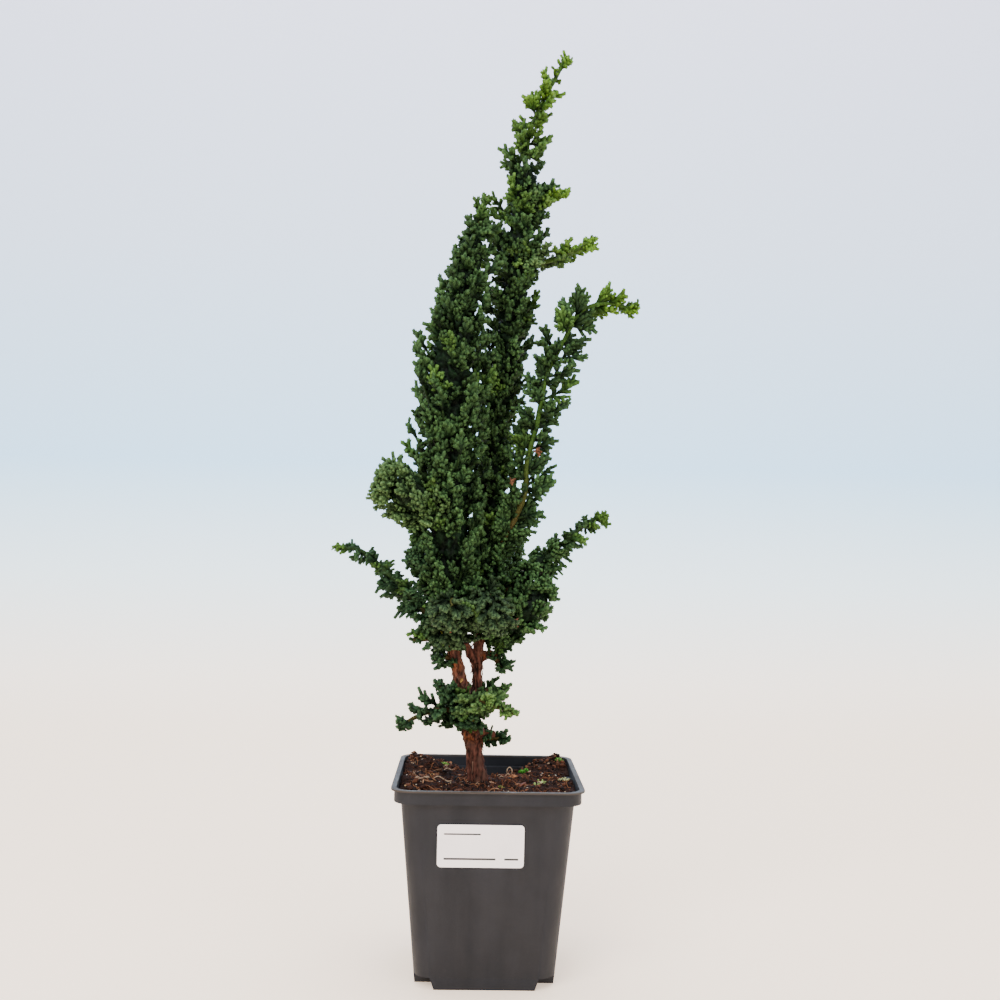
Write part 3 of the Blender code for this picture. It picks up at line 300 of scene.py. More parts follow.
# The share of sprigs that are fresh anyway, and how yellow-green they are
FRESH_SHARE = 0.14
FRESH = 0.3
DROOPING = ("skirt_front_left", "skirt_front_right")
ARCHES = ("left_arch", "right_arch")
GREEN_STEMS = ("green_shoot", "right_leader", "crown_right_low", "crown_right_high", *ARCHES)

# Rods of scale leaves, in millimetres
ROD_SIDES = 4
ROD_RADIUS = 1.16
SCALE_BULGE = 0.15
SCALE_LIFT = 0.30
CAP_RISES = (0.3, 0.55)
ROD_SWELL = ((0, 0.3, 0.7, 0.84, 0.965), (0.82, 1.0, 1.05, 1.02, 0.72))
SPRIG_LENGTH = 9.0
SPRIG_WAVE = (0.16, 0.12)
SIDE_START = 0.12
SIDE_SPAN = 0.73
SIDE_LEANS = (34, 60)
SIDE_LENGTH_SPREAD = (0.82, 1.15)
SIDE_RADIUS_SPREAD = (0.86, 1.0)
SIDE_BENDS = (0.0, 0.4)
SIDE_LENGTHS = (4.4, 2.8)
# Side rods, rings on the main rod and on a side rod, and how many side rods fork
FULL_SPRIG = (7, 7, 3, 4)
INNER_SPRIG = (5, 5, 3, 0)
FINGER_SPRIG = (8, 9, 4, 0)
FORK_RINGS = 3
FORK_PLACE = 0.5
FORK_LENGTH = 0.55
FORK_THICK = 0.95
FINGER_LENGTHS = (2.7, 2.0)
FINGER_SIZE = 1.15
FINGER_THICK = 1.08
FINGER_FALL = 0.5
FINGER_TWIG = 0.3
FINGER_SHORT = 0.6
ARCH_FLAT = 0.22
FAN_ROLL = 50
FINGER_ROLL = 35
SPRIG_KINDS = 12
INNER_KINDS = 4
SPRIG_AREA = 49.0
INNER_AREA = 85.0
INNER_REACH = 0.72
INNER_FROM = 9.0
END_REACH = 0.5
END_SHARE = 0.62
END_AREA = 42.0
DOUBLE_END = 11.0
BUSHY_END = 7.0
SPRAY_FROM = (7.5, 12.0)
SPRAY_OUT = (0.90, 1.08)
LOBE_SIZE = 14.0
LOBE_DEPTH = 0.28
BUSHY_LEANS = (24, 62)
LEAN_SPREAD = (-12, 16)
LEAN_FADE = 0.12
SPIRAL_JITTER = 20
OPPOSITE_JITTER = 38
ARCH_JITTER = 80
FLAT_SHARE = 0.7
FLAT_ROLL = 40
TUFT_ROLL = 90
PAIR_ROLL = 30
PULL_UP = 1.4
PULL_DOWN = -2.0
BARE_TWIG = 1.5
TWIG_RADII = (0.8, 0.65)
SPRAY_SWAY = 0.3
SPRAY_LIGHTS = (0.7, 1.25)
SPRIG_SIZES = (0.88, 1.1)
SPRIG_SWAY = 0.3
SPRIG_TILT = 50
SIDE_TWIGS = (0.5, 0.9)
SIDE_SIZES = (0.7, 0.9)
SLIMMEST = 0.84
FAN_ANGLES = (24, 56)
STEM_RADIUS = 1.7
STEM_TIP_RADIUS = 0.9
SKIN_FROM = 3.6
SKIN_SHARE = 0.45
SKIN_STEP = 1.6
SKIN_ROUGH = 2.1

# Leaf colours: inside, on the rods and at their tips. The dark inside tone is painted shade inside the
# foliage; the lighter tips are partly the paler new scales and partly painted highlight
TIP_START = 0.35
TIP_CURVE = 1.6
INNER_SHADE = 0.35
# The slots differ in tone: dark for the tufts by the trunk and the shoots low down, underneath and at the
# back, bright for the crown, the left lobe and the low front spray. This is painted shade and painted light
# by where a shoot sits
LEAF_TONES = {
    DARK: ((0.003, 0.007, 0.003), (0.008, 0.023, 0.010), (0.038, 0.084, 0.034)),
    MID: ((0.003, 0.007, 0.003), (0.008, 0.025, 0.009), (0.050, 0.106, 0.034)),
    BRIGHT: ((0.004, 0.009, 0.003), (0.014, 0.036, 0.013), (0.080, 0.146, 0.050)),
    GREY: ((0.002, 0.005, 0.002), (0.007, 0.017, 0.007), (0.050, 0.090, 0.038)),
}
YOUNG_TONE = ((0.010, 0.032, 0.004), (0.036, 0.098, 0.009), (0.140, 0.275, 0.028))
STEM_GREEN = (0.032, 0.072, 0.011)
TWIG_GREEN = (0.012, 0.028, 0.008)
STEM_BROWN = (0.060, 0.024, 0.012)
DEAD_BROWN = (0.130, 0.056, 0.030)

POT_TONES = ((0.0092, 0.0104, 0.0142), (0.0144, 0.0154, 0.0200))
POT_GLOSS = 0.22
# The paler top of the lip: a painted highlight
LIP_HIGHLIGHT_TONE = (0.046, 0.036, 0.029)
LABEL_TONES = ((0.95, 0.89, 0.90), (0.99, 0.94, 0.95))

# Printed marks on the label: across and up from its middle, width and height
INK_THICK = 0.04 * MM
LABEL_MARKS = (
    (-8.5 * MM, 5.6 * MM, 17 * MM, 0.7 * MM),
    (-5.0 * MM, -6.0 * MM, 24 * MM, 0.9 * MM),
    (14.2 * MM, -6.0 * MM, 6.5 * MM, 0.9 * MM),
)

# Soil and what lies on it
GROUND_TONES = ((0.004, 0.002, 0.0014), (0.030, 0.012, 0.008))
SOIL_TONES = ((0.004, 0.002, 0.0015), (0.028, 0.011, 0.007), (0.110, 0.040, 0.020), (0.012, 0.006, 0.004))
CHIP_TONES = ((0.130, 0.052, 0.026), (0.240, 0.110, 0.055), (0.060, 0.024, 0.014), (0.360, 0.240, 0.150))
GRIT_TONES = ((0.55, 0.48, 0.38), (0.36, 0.27, 0.17), (0.74, 0.70, 0.64), (0.42, 0.28, 0.14))
FIBRE_TONES = ((0.110, 0.038, 0.018), (0.190, 0.078, 0.036), (0.050, 0.018, 0.011), (0.075, 0.028, 0.014))
ROOT_TONES = ((0.420, 0.290, 0.190), (0.300, 0.160, 0.085))
DRY_GLOSS = 0.12

# Moss, leaf bits and lichen: x, y, spread, how many, colour
MOSS = (
    (19, 28, 1.2, 34, (0.060, 0.230, 0.025)),
    (38, 0, 1.9, 30, (0.270, 0.290, 0.140)),
    (27, -4, 1.3, 16, (0.190, 0.260, 0.080)),
    (-22, 33, 0.9, 8, (0.090, 0.190, 0.035)),
    (38, 33, 1.2, 10, (0.070, 0.160, 0.030)),
    (7, -14, 0.9, 8, (0.120, 0.160, 0.040)),
    (-9, 13, 1.1, 9, (0.200, 0.240, 0.090)),
)
# Bark chips that stand out: x, y, size, colour
BIG_CHIPS = (
    (13, 13, 2.7, (0.330, 0.130, 0.050)),
    (17, -6, 2.8, (0.130, 0.045, 0.026)),
    (-27, 11, 1.7, (0.420, 0.230, 0.080)),
    (34, 4, 1.5, (0.420, 0.180, 0.040)),
    (-35, 3, 2.0, (0.300, 0.180, 0.110)),
)
# Peat heaped in the back corners: x, y, spread, height, how many lumps
HEAPS = (
    (-38, 36, 3.0, 4.2, 90), (37, 36, 3.6, 3.0, 70), (25, 38, 4.0, 2.6, 60), (-37, 10, 2.2, 1.2, 16),
    (-20, 38, 3.6, 1.6, 30),
)
TRUNK_MARGIN = 0.5 * MM
HEAP_MARGIN = 1.2 * MM
MOSS_MARGIN = 1.5 * MM
FIBRE_MARGIN = 0.8 * MM
FIBRE_CURVE = 0.9
ARCH_LIFT = 2.4
MOSS_LEAN = 0.9
MOSS_SINK = 0.4
MOSS_LENGTHS = (1.2, 2.6)
MOSS_RADII = (0.3, 0.55)
# Shapes of lumps: how many, how flat, and how fine. A seed takes them in this order
LUMPS = {"round": (6, 0.8, 2), "flat": (5, 0.28, 2), "crumb": (6, 0.8, 1)}
# Noise on a lump: how high and how fine
LUMP_BUMPS = ((0.45, 1.3), (0.2, 3.1))
LUMP_TILT = 0.6
LUMP_HEIGHT = 0.9
# Lumps: shape, how many (0 for those of the heaps), margin from the pot, sizes, tones, stretch
LITTER = (
    ("round", 320, 1.8, (0.6, 1.7), SOIL_TONES, 1.6),
    ("crumb", 1300, 1.2, (0.3, 0.9), SOIL_TONES, 1.6),
    ("round", 0, 0, (0.6, 1.6), SOIL_TONES, 1.6),
    ("crumb", 0, 0, (0.4, 0.9), CHIP_TONES, 1.6),
    ("flat", 70, 2.8, (0.8, 1.8), CHIP_TONES, 2.2),
    ("crumb", 170, 1.8, (0.28, 0.6), GRIT_TONES, 1.3),
)
# Fibres and rootlets: how many, margin from the pot, lengths, radii, tones, lift
FIBRES = (
    (330, 1.5, (3, 11), (0.09, 0.20), FIBRE_TONES, 1.0),
    (10, 3, (8, 16), (0.22, 0.36), ROOT_TONES, 0.9),
)
# A curled root: middle and radius
ROOT_CURL = ((12, 26, 2.0), 1.7)
CURL_THICK = 0.32

# Bark
WOOD_VOXEL = 0.5 * MM
BARK_DARK = (0.012, 0.0045, 0.003)
BARK_LIGHT = (0.125, 0.045, 0.030)
BARK_GREY = (0.095, 0.046, 0.032)
BARK_SCAR = (0.210, 0.066, 0.024)
# Relief of the bark in millimetres, the noise at which a flake starts, and how much more a cut has
FIBRE_RELIEF = 0.42
FLAKE_RELIEF = 0.30
LUMP_RELIEF = 0.38
GRAIN_RELIEF = 0.3
FLAKE_START = 0.12
SCAR_RELIEF = 0.9
# Old cuts that stand out from the collar: x, y, z, radius
COLLAR = (
    ((-7.4, 2, 111, 2.6), (-10.6, -1.8, 112.4, 2.0)), ((-7.4, 2, 111, 2.6), (-5.6, -2.6, 111.2, 1.9)),
    ((-7.4, 2, 113, 2.4), (-3.2, -0.4, 114, 1.7)),
    ((-7.4, 2, 111, 2.4), (-1, 3, 112.3, 1.9), (3, 3.4, 111.8, 1.4)),
)
FLAKES = 190
FLAKE_STEPS = (3, 8)
FLAKE_LIFTS = (0.1, 1.0)
FLAKE_TWIST = 0.12
FLAKE_OFF = 0.15
FLAKE_RADII = (0.14, 0.34)
FLAKE_TONES = ((0.150, 0.080, 0.054), (0.170, 0.066, 0.038), (0.060, 0.022, 0.013), (0.110, 0.040, 0.022))
# Paler bark round old cuts: middle and radius
BARK_SCARS = (
    ((-11.5, -1, 112.5), 5.5), ((-3.5, 0, 112.5), 5.0), ((-7, -3, 111), 3.5),
    ((-17, -9, 146), 4.5), ((-13, -4, 133), 4.0), ((-1, 3, 151), 4.5), ((-20, -10, 158), 4.0),
)
# Dead and yellow twigs: place, colour, how many pairs
LOOSE_BITS = (
    ((22, -8, 253), DEAD_BROWN, 3),
    ((9, -7, 238), DEAD_BROWN, 2),
    ((12, -20, 170), DEAD_BROWN, 2),
    ((-20, -28, 166), DEAD_BROWN, 1),
    ((-24, -11, 163), (0.30, 0.27, 0.04), 2),
    ((-14.5, -7.0, 141), (0.30, 0.17, 0.05), 1),
)
BIT_LENGTHS = (2.5, 4.5)
BIT_RADIUS = 0.5
BIT_RINGS = 6
BIT_BEND = -0.3
LEAF_CELLS = 900.0
LEAF_GLOSS = 0.07
NOISE_RANGE = (0.3, 0.7)

# Stage and lights
STAGE_DEPTH = 0.55
STAGE_BEND = 0.45
STAGE_HEIGHT = 2.2
STAGE_FRONT = -1.6
STAGE_HALF = 3.0
STAGE_STEPS = 12
STAGE_TONES = (
    (0.0, (1.0, 0.80, 0.62)),
    (0.02, (1.0, 0.87, 0.74)),
    (0.07, (0.74, 0.88, 0.94)),
    (0.14, (0.42, 0.70, 0.98)),
    (0.28, (0.55, 0.68, 0.88)),
    (0.45, (0.62, 0.67, 0.86)),
)
STAGE_GLOW = 0.72
# Name, place, what it faces, size, watts, colour
LIGHTS = (
    ("key", (-0.8, -1.4, 1.5), (0, 0, 0.20), (1.2, 1.2), 51, (0.98, 0.985, 1.0)),
    ("fill", (1.3, -1.2, 0.8), (0, 0, 0.25), (1.2, 1.2), 19, (0.95, 0.97, 1.0)),
    ("top", (0.1, 0.1, 2.0), (0, 0, 0.2), (1.4, 1.4), 20, (1.0, 1.0, 1.0)),
    ("backdrop", (0, 0.1, 2.4), (0, 1.2, 0.6), (2.5, 0.8), 40, (1.0, 1.0, 1.0)),
)
WORLD_COLOUR = (0.94, 0.96, 1.0)
WORLD_STRENGTH = 0.6


def link_object(name, data):
    ob = bpy.data.objects.new(name, data)
    bpy.context.scene.collection.objects.link(ob)
    return ob


def bmesh_object(name, bm):
    """An object with a bmesh's mesh. The bmesh is freed."""
    mesh = bpy.data.meshes.new(name)
    bm.to_mesh(mesh)
    bm.free()
    return link_object(name, mesh)


def evaluated_mesh(ob):
    bpy.context.view_layer.update()
    graph = bpy.context.evaluated_depsgraph_get()
    return bpy.data.meshes.new_from_object(ob.evaluated_get(graph))


def settle(ob):
    """Apply an object's modifiers."""
    mesh = evaluated_mesh(ob)
    ob.modifiers.clear()
    ob.data = mesh


def paint(ob, material):
    ob.data.materials.clear()
    ob.data.materials.append(material)
    return ob


def set_tones(mesh, colours):
    layer = mesh.color_attributes.new("tone", "FLOAT_COLOR", "POINT")
    layer.data.foreach_set("color", np.hstack([colours, np.ones((len(colours), 1))]).ravel())


def shade_by_angle(ob, degrees):
    for polygon in ob.data.polygons:
        polygon.use_smooth = True
    ob.data.set_sharp_from_angle(angle=math.radians(degrees))


def combine(ob, parts, operation, solver="EXACT"):
    """Apply one Boolean of ob with all the parts, and remove the parts."""
    tools = bpy.data.collections.new("tools")
    bpy.context.scene.collection.children.link(tools)
    for part in parts:
        bpy.context.scene.collection.objects.unlink(part)
        tools.objects.link(part)
    modifier = ob.modifiers.new(operation.lower(), "BOOLEAN")
    modifier.operation = operation
    modifier.operand_type = "COLLECTION"
    modifier.collection = tools
    modifier.solver = solver
    settle(ob)
    for part in parts:
        bpy.data.objects.remove(part)
    bpy.data.collections.remove(tools)


def block(name, low, high, low_half, high_half, corner=0, centre=(0, 0)):
    """A box between two heights, with rounded upright edges. The half size at each end is one number,
    or (x, y)."""
    bm = bmesh.new()
    bmesh.ops.create_cube(bm, size=2)
    for v in bm.verts:
        height, half = (high, high_half) if v.co.z > 0 else (low, low_half)
        half_x, half_y = half if isinstance(half, tuple) else (half, half)
        v.co = (centre[0] + v.co.x * half_x, centre[1] + v.co.y * half_y, height)
    if corner:
        upright = [e for e in bm.edges if abs(e.verts[0].co.z - e.verts[1].co.z) > (high - low) / 2]
        bmesh.ops.bevel(bm, geom=upright, offset=corner, offset_type="OFFSET", segments=CORNER_STEPS,
                        profile=0.5, affect="EDGES")
    return bmesh_object(name, bm)


def wall_half(height, inset=0.0):
    """Half width of the tapered wall at a height, less an inset."""
    return FOOT_HALF + (height - FOOT_HEIGHT) * WALL_SLOPE - inset


def foot_arms(low, high, inset=0.0):
    """The two crossing arms of the foot, each side an inset away from the outer one."""
    lengths = (FOOT_HALF - FOOT_HEIGHT * WALL_SLOPE - inset, FOOT_HALF - inset)
    widths = (ARM_FOOT_HALF - inset, ARM_TOP_HALF - inset)
    return [block("arm", low, high, *zip(*halves)) for halves in ((lengths, widths), (widths, lengths))]


def pot_inside(inset):
    """The blocks that fill the pot's inside, each side an inset away from the outer one."""
    floor = FLOOR + inset - WALL
    foot = FOOT_HEIGHT + floor
    ledge = BAND_BOTTOM + inset
    corner = POT_CORNER - inset
    well = block("well", foot, ledge + BLOCK_OVERLAP, wall_half(foot, inset),
                 wall_half(ledge + BLOCK_OVERLAP, inset), corner)
    mouth = block("mouth", ledge, POT_HEIGHT + MOUTH_RISE, BAND_HALF - inset, BAND_HALF - inset, corner)
    return [well, mouth, *foot_arms(floor, foot + BLOCK_OVERLAP, inset)]


def soil_height(x, y):
    """The level with its broad heaps and dips, and a ripple as in the packed soil."""
    height = SOIL_LEVEL
    for centre_x, centre_y, rise, radius in SOIL_HEAPS:
        away = math.hypot(x - centre_x, y - centre_y) / radius
        height += rise * math.exp(-away * away)
    ripple = math.sin(x / (4.1 * MM) + 1.3 * math.sin(y / (6.3 * MM)))
    return height + SOIL_LUMP * (ripple * math.sin(y / (3.7 * MM) + x / (9.0 * MM)))


def mix(a, b, share):
    return a + (b - a) * share


def clamp(value, most=1):
    return min(max(value, 0), most)


def unit(v):
    return v / np.linalg.norm(v)


def smooth_path(points, step):
    """Points about a step apart on a smooth curve through the given points."""
    points = np.array(points, dtype=float)
    ends = np.vstack([2 * points[0] - points[1], points, 2 * points[-1] - points[-2]])
    path = [points[0]]
    for a, b, c, d in zip(ends, ends[1:], ends[2:], ends[3:]):
        count = max(1, round(np.linalg.norm(c - b) / step))
        for t in np.arange(1, count + 1) / count:
            path.append(0.5 * (2 * b + (c - a) * t + (2 * a - 5 * b + 4 * c - d) * t ** 2
                               + (3 * b - a - 3 * c + d) * t ** 3))
    return np.array(path)


def fractions_of(path):
    steps = np.linalg.norm(np.diff(path, axis=0), axis=1)
    lengths = np.concatenate([[0], np.cumsum(steps)])
    return lengths / lengths[-1], lengths[-1]


def turning_frames(path):
    """The direction along a path, across it and behind it, at each of its points."""
    along = np.gradient(path, axis=0)
    along /= np.linalg.norm(along, axis=1)[:, None]
    across = np.array([1.0, 0, 0]) if abs(along[0][0]) < 0.8 else np.array([0, 1.0, 0])
    frames = []
    for a in along:
        across = unit(across - a * across.dot(a))
        frames.append((a, across, np.cross(a, across)))
    return frames


def spoke(frame, angle):
    """The direction at an angle round a path."""
    _, across, behind = frame
    return across * math.cos(angle) + behind * math.sin(angle)


def read_rows(rows, fraction, count):
    """The numbers at a fraction. The last number of a short row also stands for those left out."""
    places = [row[0] for row in rows]
    return [float(np.interp(fraction, places, [row[min(i, len(row) - 1)] for row in rows]))
            for i in range(1, count + 1)]


def core_at(shoot, fraction):
    return read_rows(shoot.core, fraction, 1)[0]


def reaches_at(shoot, fraction):
    """How far the leaves stand out: left, right and in depth."""
    return read_rows(shoot.reach, fraction, 3)


def reach_at(shoot, fraction, angle):
    """How far the leaves stand out at an angle round the centreline."""
    left, right, depth = reaches_at(shoot, fraction)
    sideways = right if math.cos(angle) > 0 else left
    return 1 / math.sqrt((math.cos(angle) / sideways) ** 2 + (math.sin(angle) / depth) ** 2)


def youth(shoot, fraction):
    start, most = YOUNG.get(shoot.name, (1.0, 0.0))
    return most * clamp((fraction - start) / max(1 - start, 0.01) * YOUNG_RISE)


def openness(shoot, fraction):
    start, most = OPEN.get(shoot.name, (1.0, 1.0))
    return 1 + (most - 1) * clamp((fraction - start) / OPEN_RISE)


class Body:
    """Vertices, faces and a colour for each vertex, gathered piece by piece. Millimetres."""

    def __init__(self):
        self.verts = []
        self.quads = []
        self.tris = []
        self.colours = []
        self.count = 0

    def add(self, verts, quads, tris, colours):
        self.verts.append(verts)
        self.quads.append(quads + self.count)
        self.tris.append(tris + self.count)
        self.colours.append(colours)
        self.count += len(verts)

    def add_toned(self, shape, tone, root=1.0, rise=0.0):
        """A tube or rod in one tone, times a number at its root and a rise from there to its tip."""
        verts, quads, tris, along = shape
        self.add(verts, quads, tris, np.array(tone) * (root + rise * along[:, None]))

    def add_copies(self, verts, quads, tris, colours):
        """Many copies of one shape: verts and colours are (copy, vertex, 3)."""
        copies, size, _ = verts.shape
        offsets = (np.arange(copies) * size)[:, None, None]
        self.add(verts.reshape(-1, 3), (quads[None] + offsets).reshape(-1, 4),
                 (tris[None] + offsets).reshape(-1, 3), colours.reshape(-1, 3))

    def arrays(self):
        return [np.vstack(rows) for rows in (self.verts, self.quads, self.tris, self.colours)]

    def make(self, name, material):
        verts, quads, tris, colours = self.arrays()
        mesh = bpy.data.meshes.new(name)
        mesh.vertices.add(len(verts))
        mesh.vertices.foreach_set("co", (verts * MM).ravel())
        loops = np.concatenate([quads.ravel(), tris.ravel()]).astype(np.int32)
        mesh.loops.add(len(loops))
        mesh.loops.foreach_set("vertex_index", loops)
        sizes = np.concatenate([np.full(len(quads), 4), np.full(len(tris), 3)])
        mesh.polygons.add(len(sizes))
        mesh.polygons.foreach_set("loop_start", (np.cumsum(sizes) - sizes).astype(np.int32))
        mesh.polygons.foreach_set("use_smooth", np.ones(len(sizes), dtype=bool))
        mesh.update(calc_edges=True)
        mesh.validate()
        set_tones(mesh, colours)
        mesh.materials.append(material)
        return link_object(name, mesh)


def ring_faces(rings, sides):
    """Quads between rings of vertices, and triangles to the two end points, which come after them."""
    ring = np.arange(rings - 1)[:, None] * sides
    side = np.arange(sides)[None]
    nearby = (side + 1) % sides
    quads = np.stack([ring + side, ring + nearby, ring + sides + nearby, ring + sides + side], axis=-1)
    first = rings * sides
    top = first - sides
    low = np.stack([nearby[0], side[0], np.full(sides, first)], axis=-1)
    high = np.stack([top + side[0], top + nearby[0], np.full(sides, first + 1)], axis=-1)
    return quads.reshape(-1, 4), np.vstack([low, high])


def tube(path, radii, sides, bulge=0.0, lift=0.0):
    """A closed tube: vertices, quads, the caps' triangles, and how far along each vertex is. A bulge makes
    pairs of scale leaves, each pair turned a quarter from the last."""
    frames = turning_frames(path)
    fractions, _ = fractions_of(path)
    angles = np.arange(sides) * 2 * math.pi / sides
    rings = []
    for k, (point, (along, across, behind), radius) in enumerate(zip(path, frames, radii)):
        wave = np.cos(2 * angles + math.pi * k)
        spokes = np.cos(angles)[:, None] * across + np.sin(angles)[:, None] * behind
        rings.append(point + spokes * (radius * (1 + bulge * wave))[:, None]
                     + along * (lift * radius * wave)[:, None])
    first = path[0] - frames[0][0] * radii[0] * CAP_RISES[0]
    last = path[-1] + frames[-1][0] * radii[-1] * CAP_RISES[1]
    places = np.concatenate([np.repeat(fractions, sides), [0, 1]])
    return np.vstack([*rings, first, last]), *ring_faces(len(path), sides), places


def rod(start, direction, length, radius, rings, bend):
    """A blunt rod of scale leaves."""
    t = np.concatenate([np.linspace(0, 0.84, rings - 1), [0.965]])
    path = start + direction * (length * t)[:, None] + bend * (length * t ** 2)[:, None]
    swell = np.interp(t, *ROD_SWELL)
    return tube(path, radius * swell, ROD_SIDES, SCALE_BULGE, SCALE_LIFT)


def make_sprig(rng, lengths, spread, sides, main_rings, side_rings, forks):
    """A fan of rods along +Z, near the XZ plane. Each vertex also gets its place from the root of the
    sprig to its outside, and its place along its own rod."""
    wave = np.array([*(rng.uniform(-most, most) for most in SPRIG_WAVE), 0])
    rods = [(0.0, np.zeros(3), UP, SPRIG_LENGTH, ROD_RADIUS, main_rings, wave)]
    for i in range(sides):
        place = SIDE_START + SIDE_SPAN * (i + rng.uniform(-0.25, 0.25)) / (sides - 1)
        roll = math.radians((0 if i % 2 else 180) + rng.uniform(-spread, spread))
        lean = math.radians(rng.uniform(*SIDE_LEANS))
        outward = np.array([math.cos(roll), math.sin(roll), 0])
        direction = UP * math.cos(lean) + outward * math.sin(lean)
        root = UP * SPRIG_LENGTH * place + wave * SPRIG_LENGTH * place ** 2
        length = mix(*lengths, place) * rng.uniform(*SIDE_LENGTH_SPREAD)
        bend = UP * rng.uniform(*SIDE_BENDS)
        radius = ROD_RADIUS * rng.uniform(*SIDE_RADIUS_SPREAD)
        rods.append((place, root, direction, length, radius, side_rings, bend))
        if i < forks:
            across = unit(np.cross(direction, UP)) * rng.choice((-1, 1))
            side = unit(direction + across * rng.uniform(0.8, 1.3) + outward * rng.uniform(-0.4, 0.4))
            rods.append((place + 0.2, root + direction * length * FORK_PLACE, side, length * FORK_LENGTH,
                         radius * FORK_THICK, FORK_RINGS, bend))
    sprig = Body()
    for place, root, direction, length, radius, rings, bend in rods:
        verts, quads, tris, along = rod(root, direction, length, radius, rings, bend)
        outside = np.clip(place * 0.8 + along * length / SPRIG_LENGTH, 0, 1)
        sprig.add(verts, quads, tris, np.stack([outside, along], axis=1))
    verts, quads, tris, places = sprig.arrays()
    return verts, quads, tris, *places.T


def sprig_tones(shoot, sprigs, outside, tips):
    """A colour for each vertex of each sprig: dark inside, which is painted shade, lighter at the tips of
    the rods, partly paler new scales and partly painted highlight, and the inner layer darker still, also
    painted shade.
    """
    young, light, depth = (np.array([getattr(s, field) for s in sprigs])[:, None, None]
                           for field in ("young", "light", "depth"))
    inner, rods, ends = (mix(np.array(tone), np.array(fresh), young)
                         for tone, fresh in zip(LEAF_TONES[shoot.colour], YOUNG_TONE))
    outside = outside[None, :, None]
    tip = (np.clip((tips - TIP_START) / (1 - TIP_START), 0, 1) ** TIP_CURVE)[None, :, None]
    colour = mix(mix(inner, rods, np.clip(outside * 1.5, 0, 1)), ends, tip * (0.25 + 0.75 * outside))
    return colour * light * (1 - INNER_SHADE * depth)


def place_sprigs(body, shoot, sprigs, kinds):
    """Turn, scale and bend each sprig into place, kind by kind."""
    for number, (verts, quads, tris, outside, tips) in enumerate(kinds):
        chosen = [s for s in sprigs if s.kind == number]
        if not chosen:
            continue
        turns = []
        for s in chosen:
            z = s.direction
            x = unit(s.fan - z * s.fan.dot(z))
            y = np.cross(z, x)
            turns.append(np.stack([x * s.thick, y * s.thick, z * s.size], axis=1))
        placed = np.einsum("nij,vj->nvi", np.array(turns), verts)
        curve = (verts[:, 2] / SPRIG_LENGTH) ** 2
        placed += np.array([s.place for s in chosen])[:, None, :]
        placed += np.array([s.bend for s in chosen])[:, None, :] * curve[None, :, None]
        body.add_copies(placed, quads, tris, sprig_tones(shoot, chosen, outside, tips))


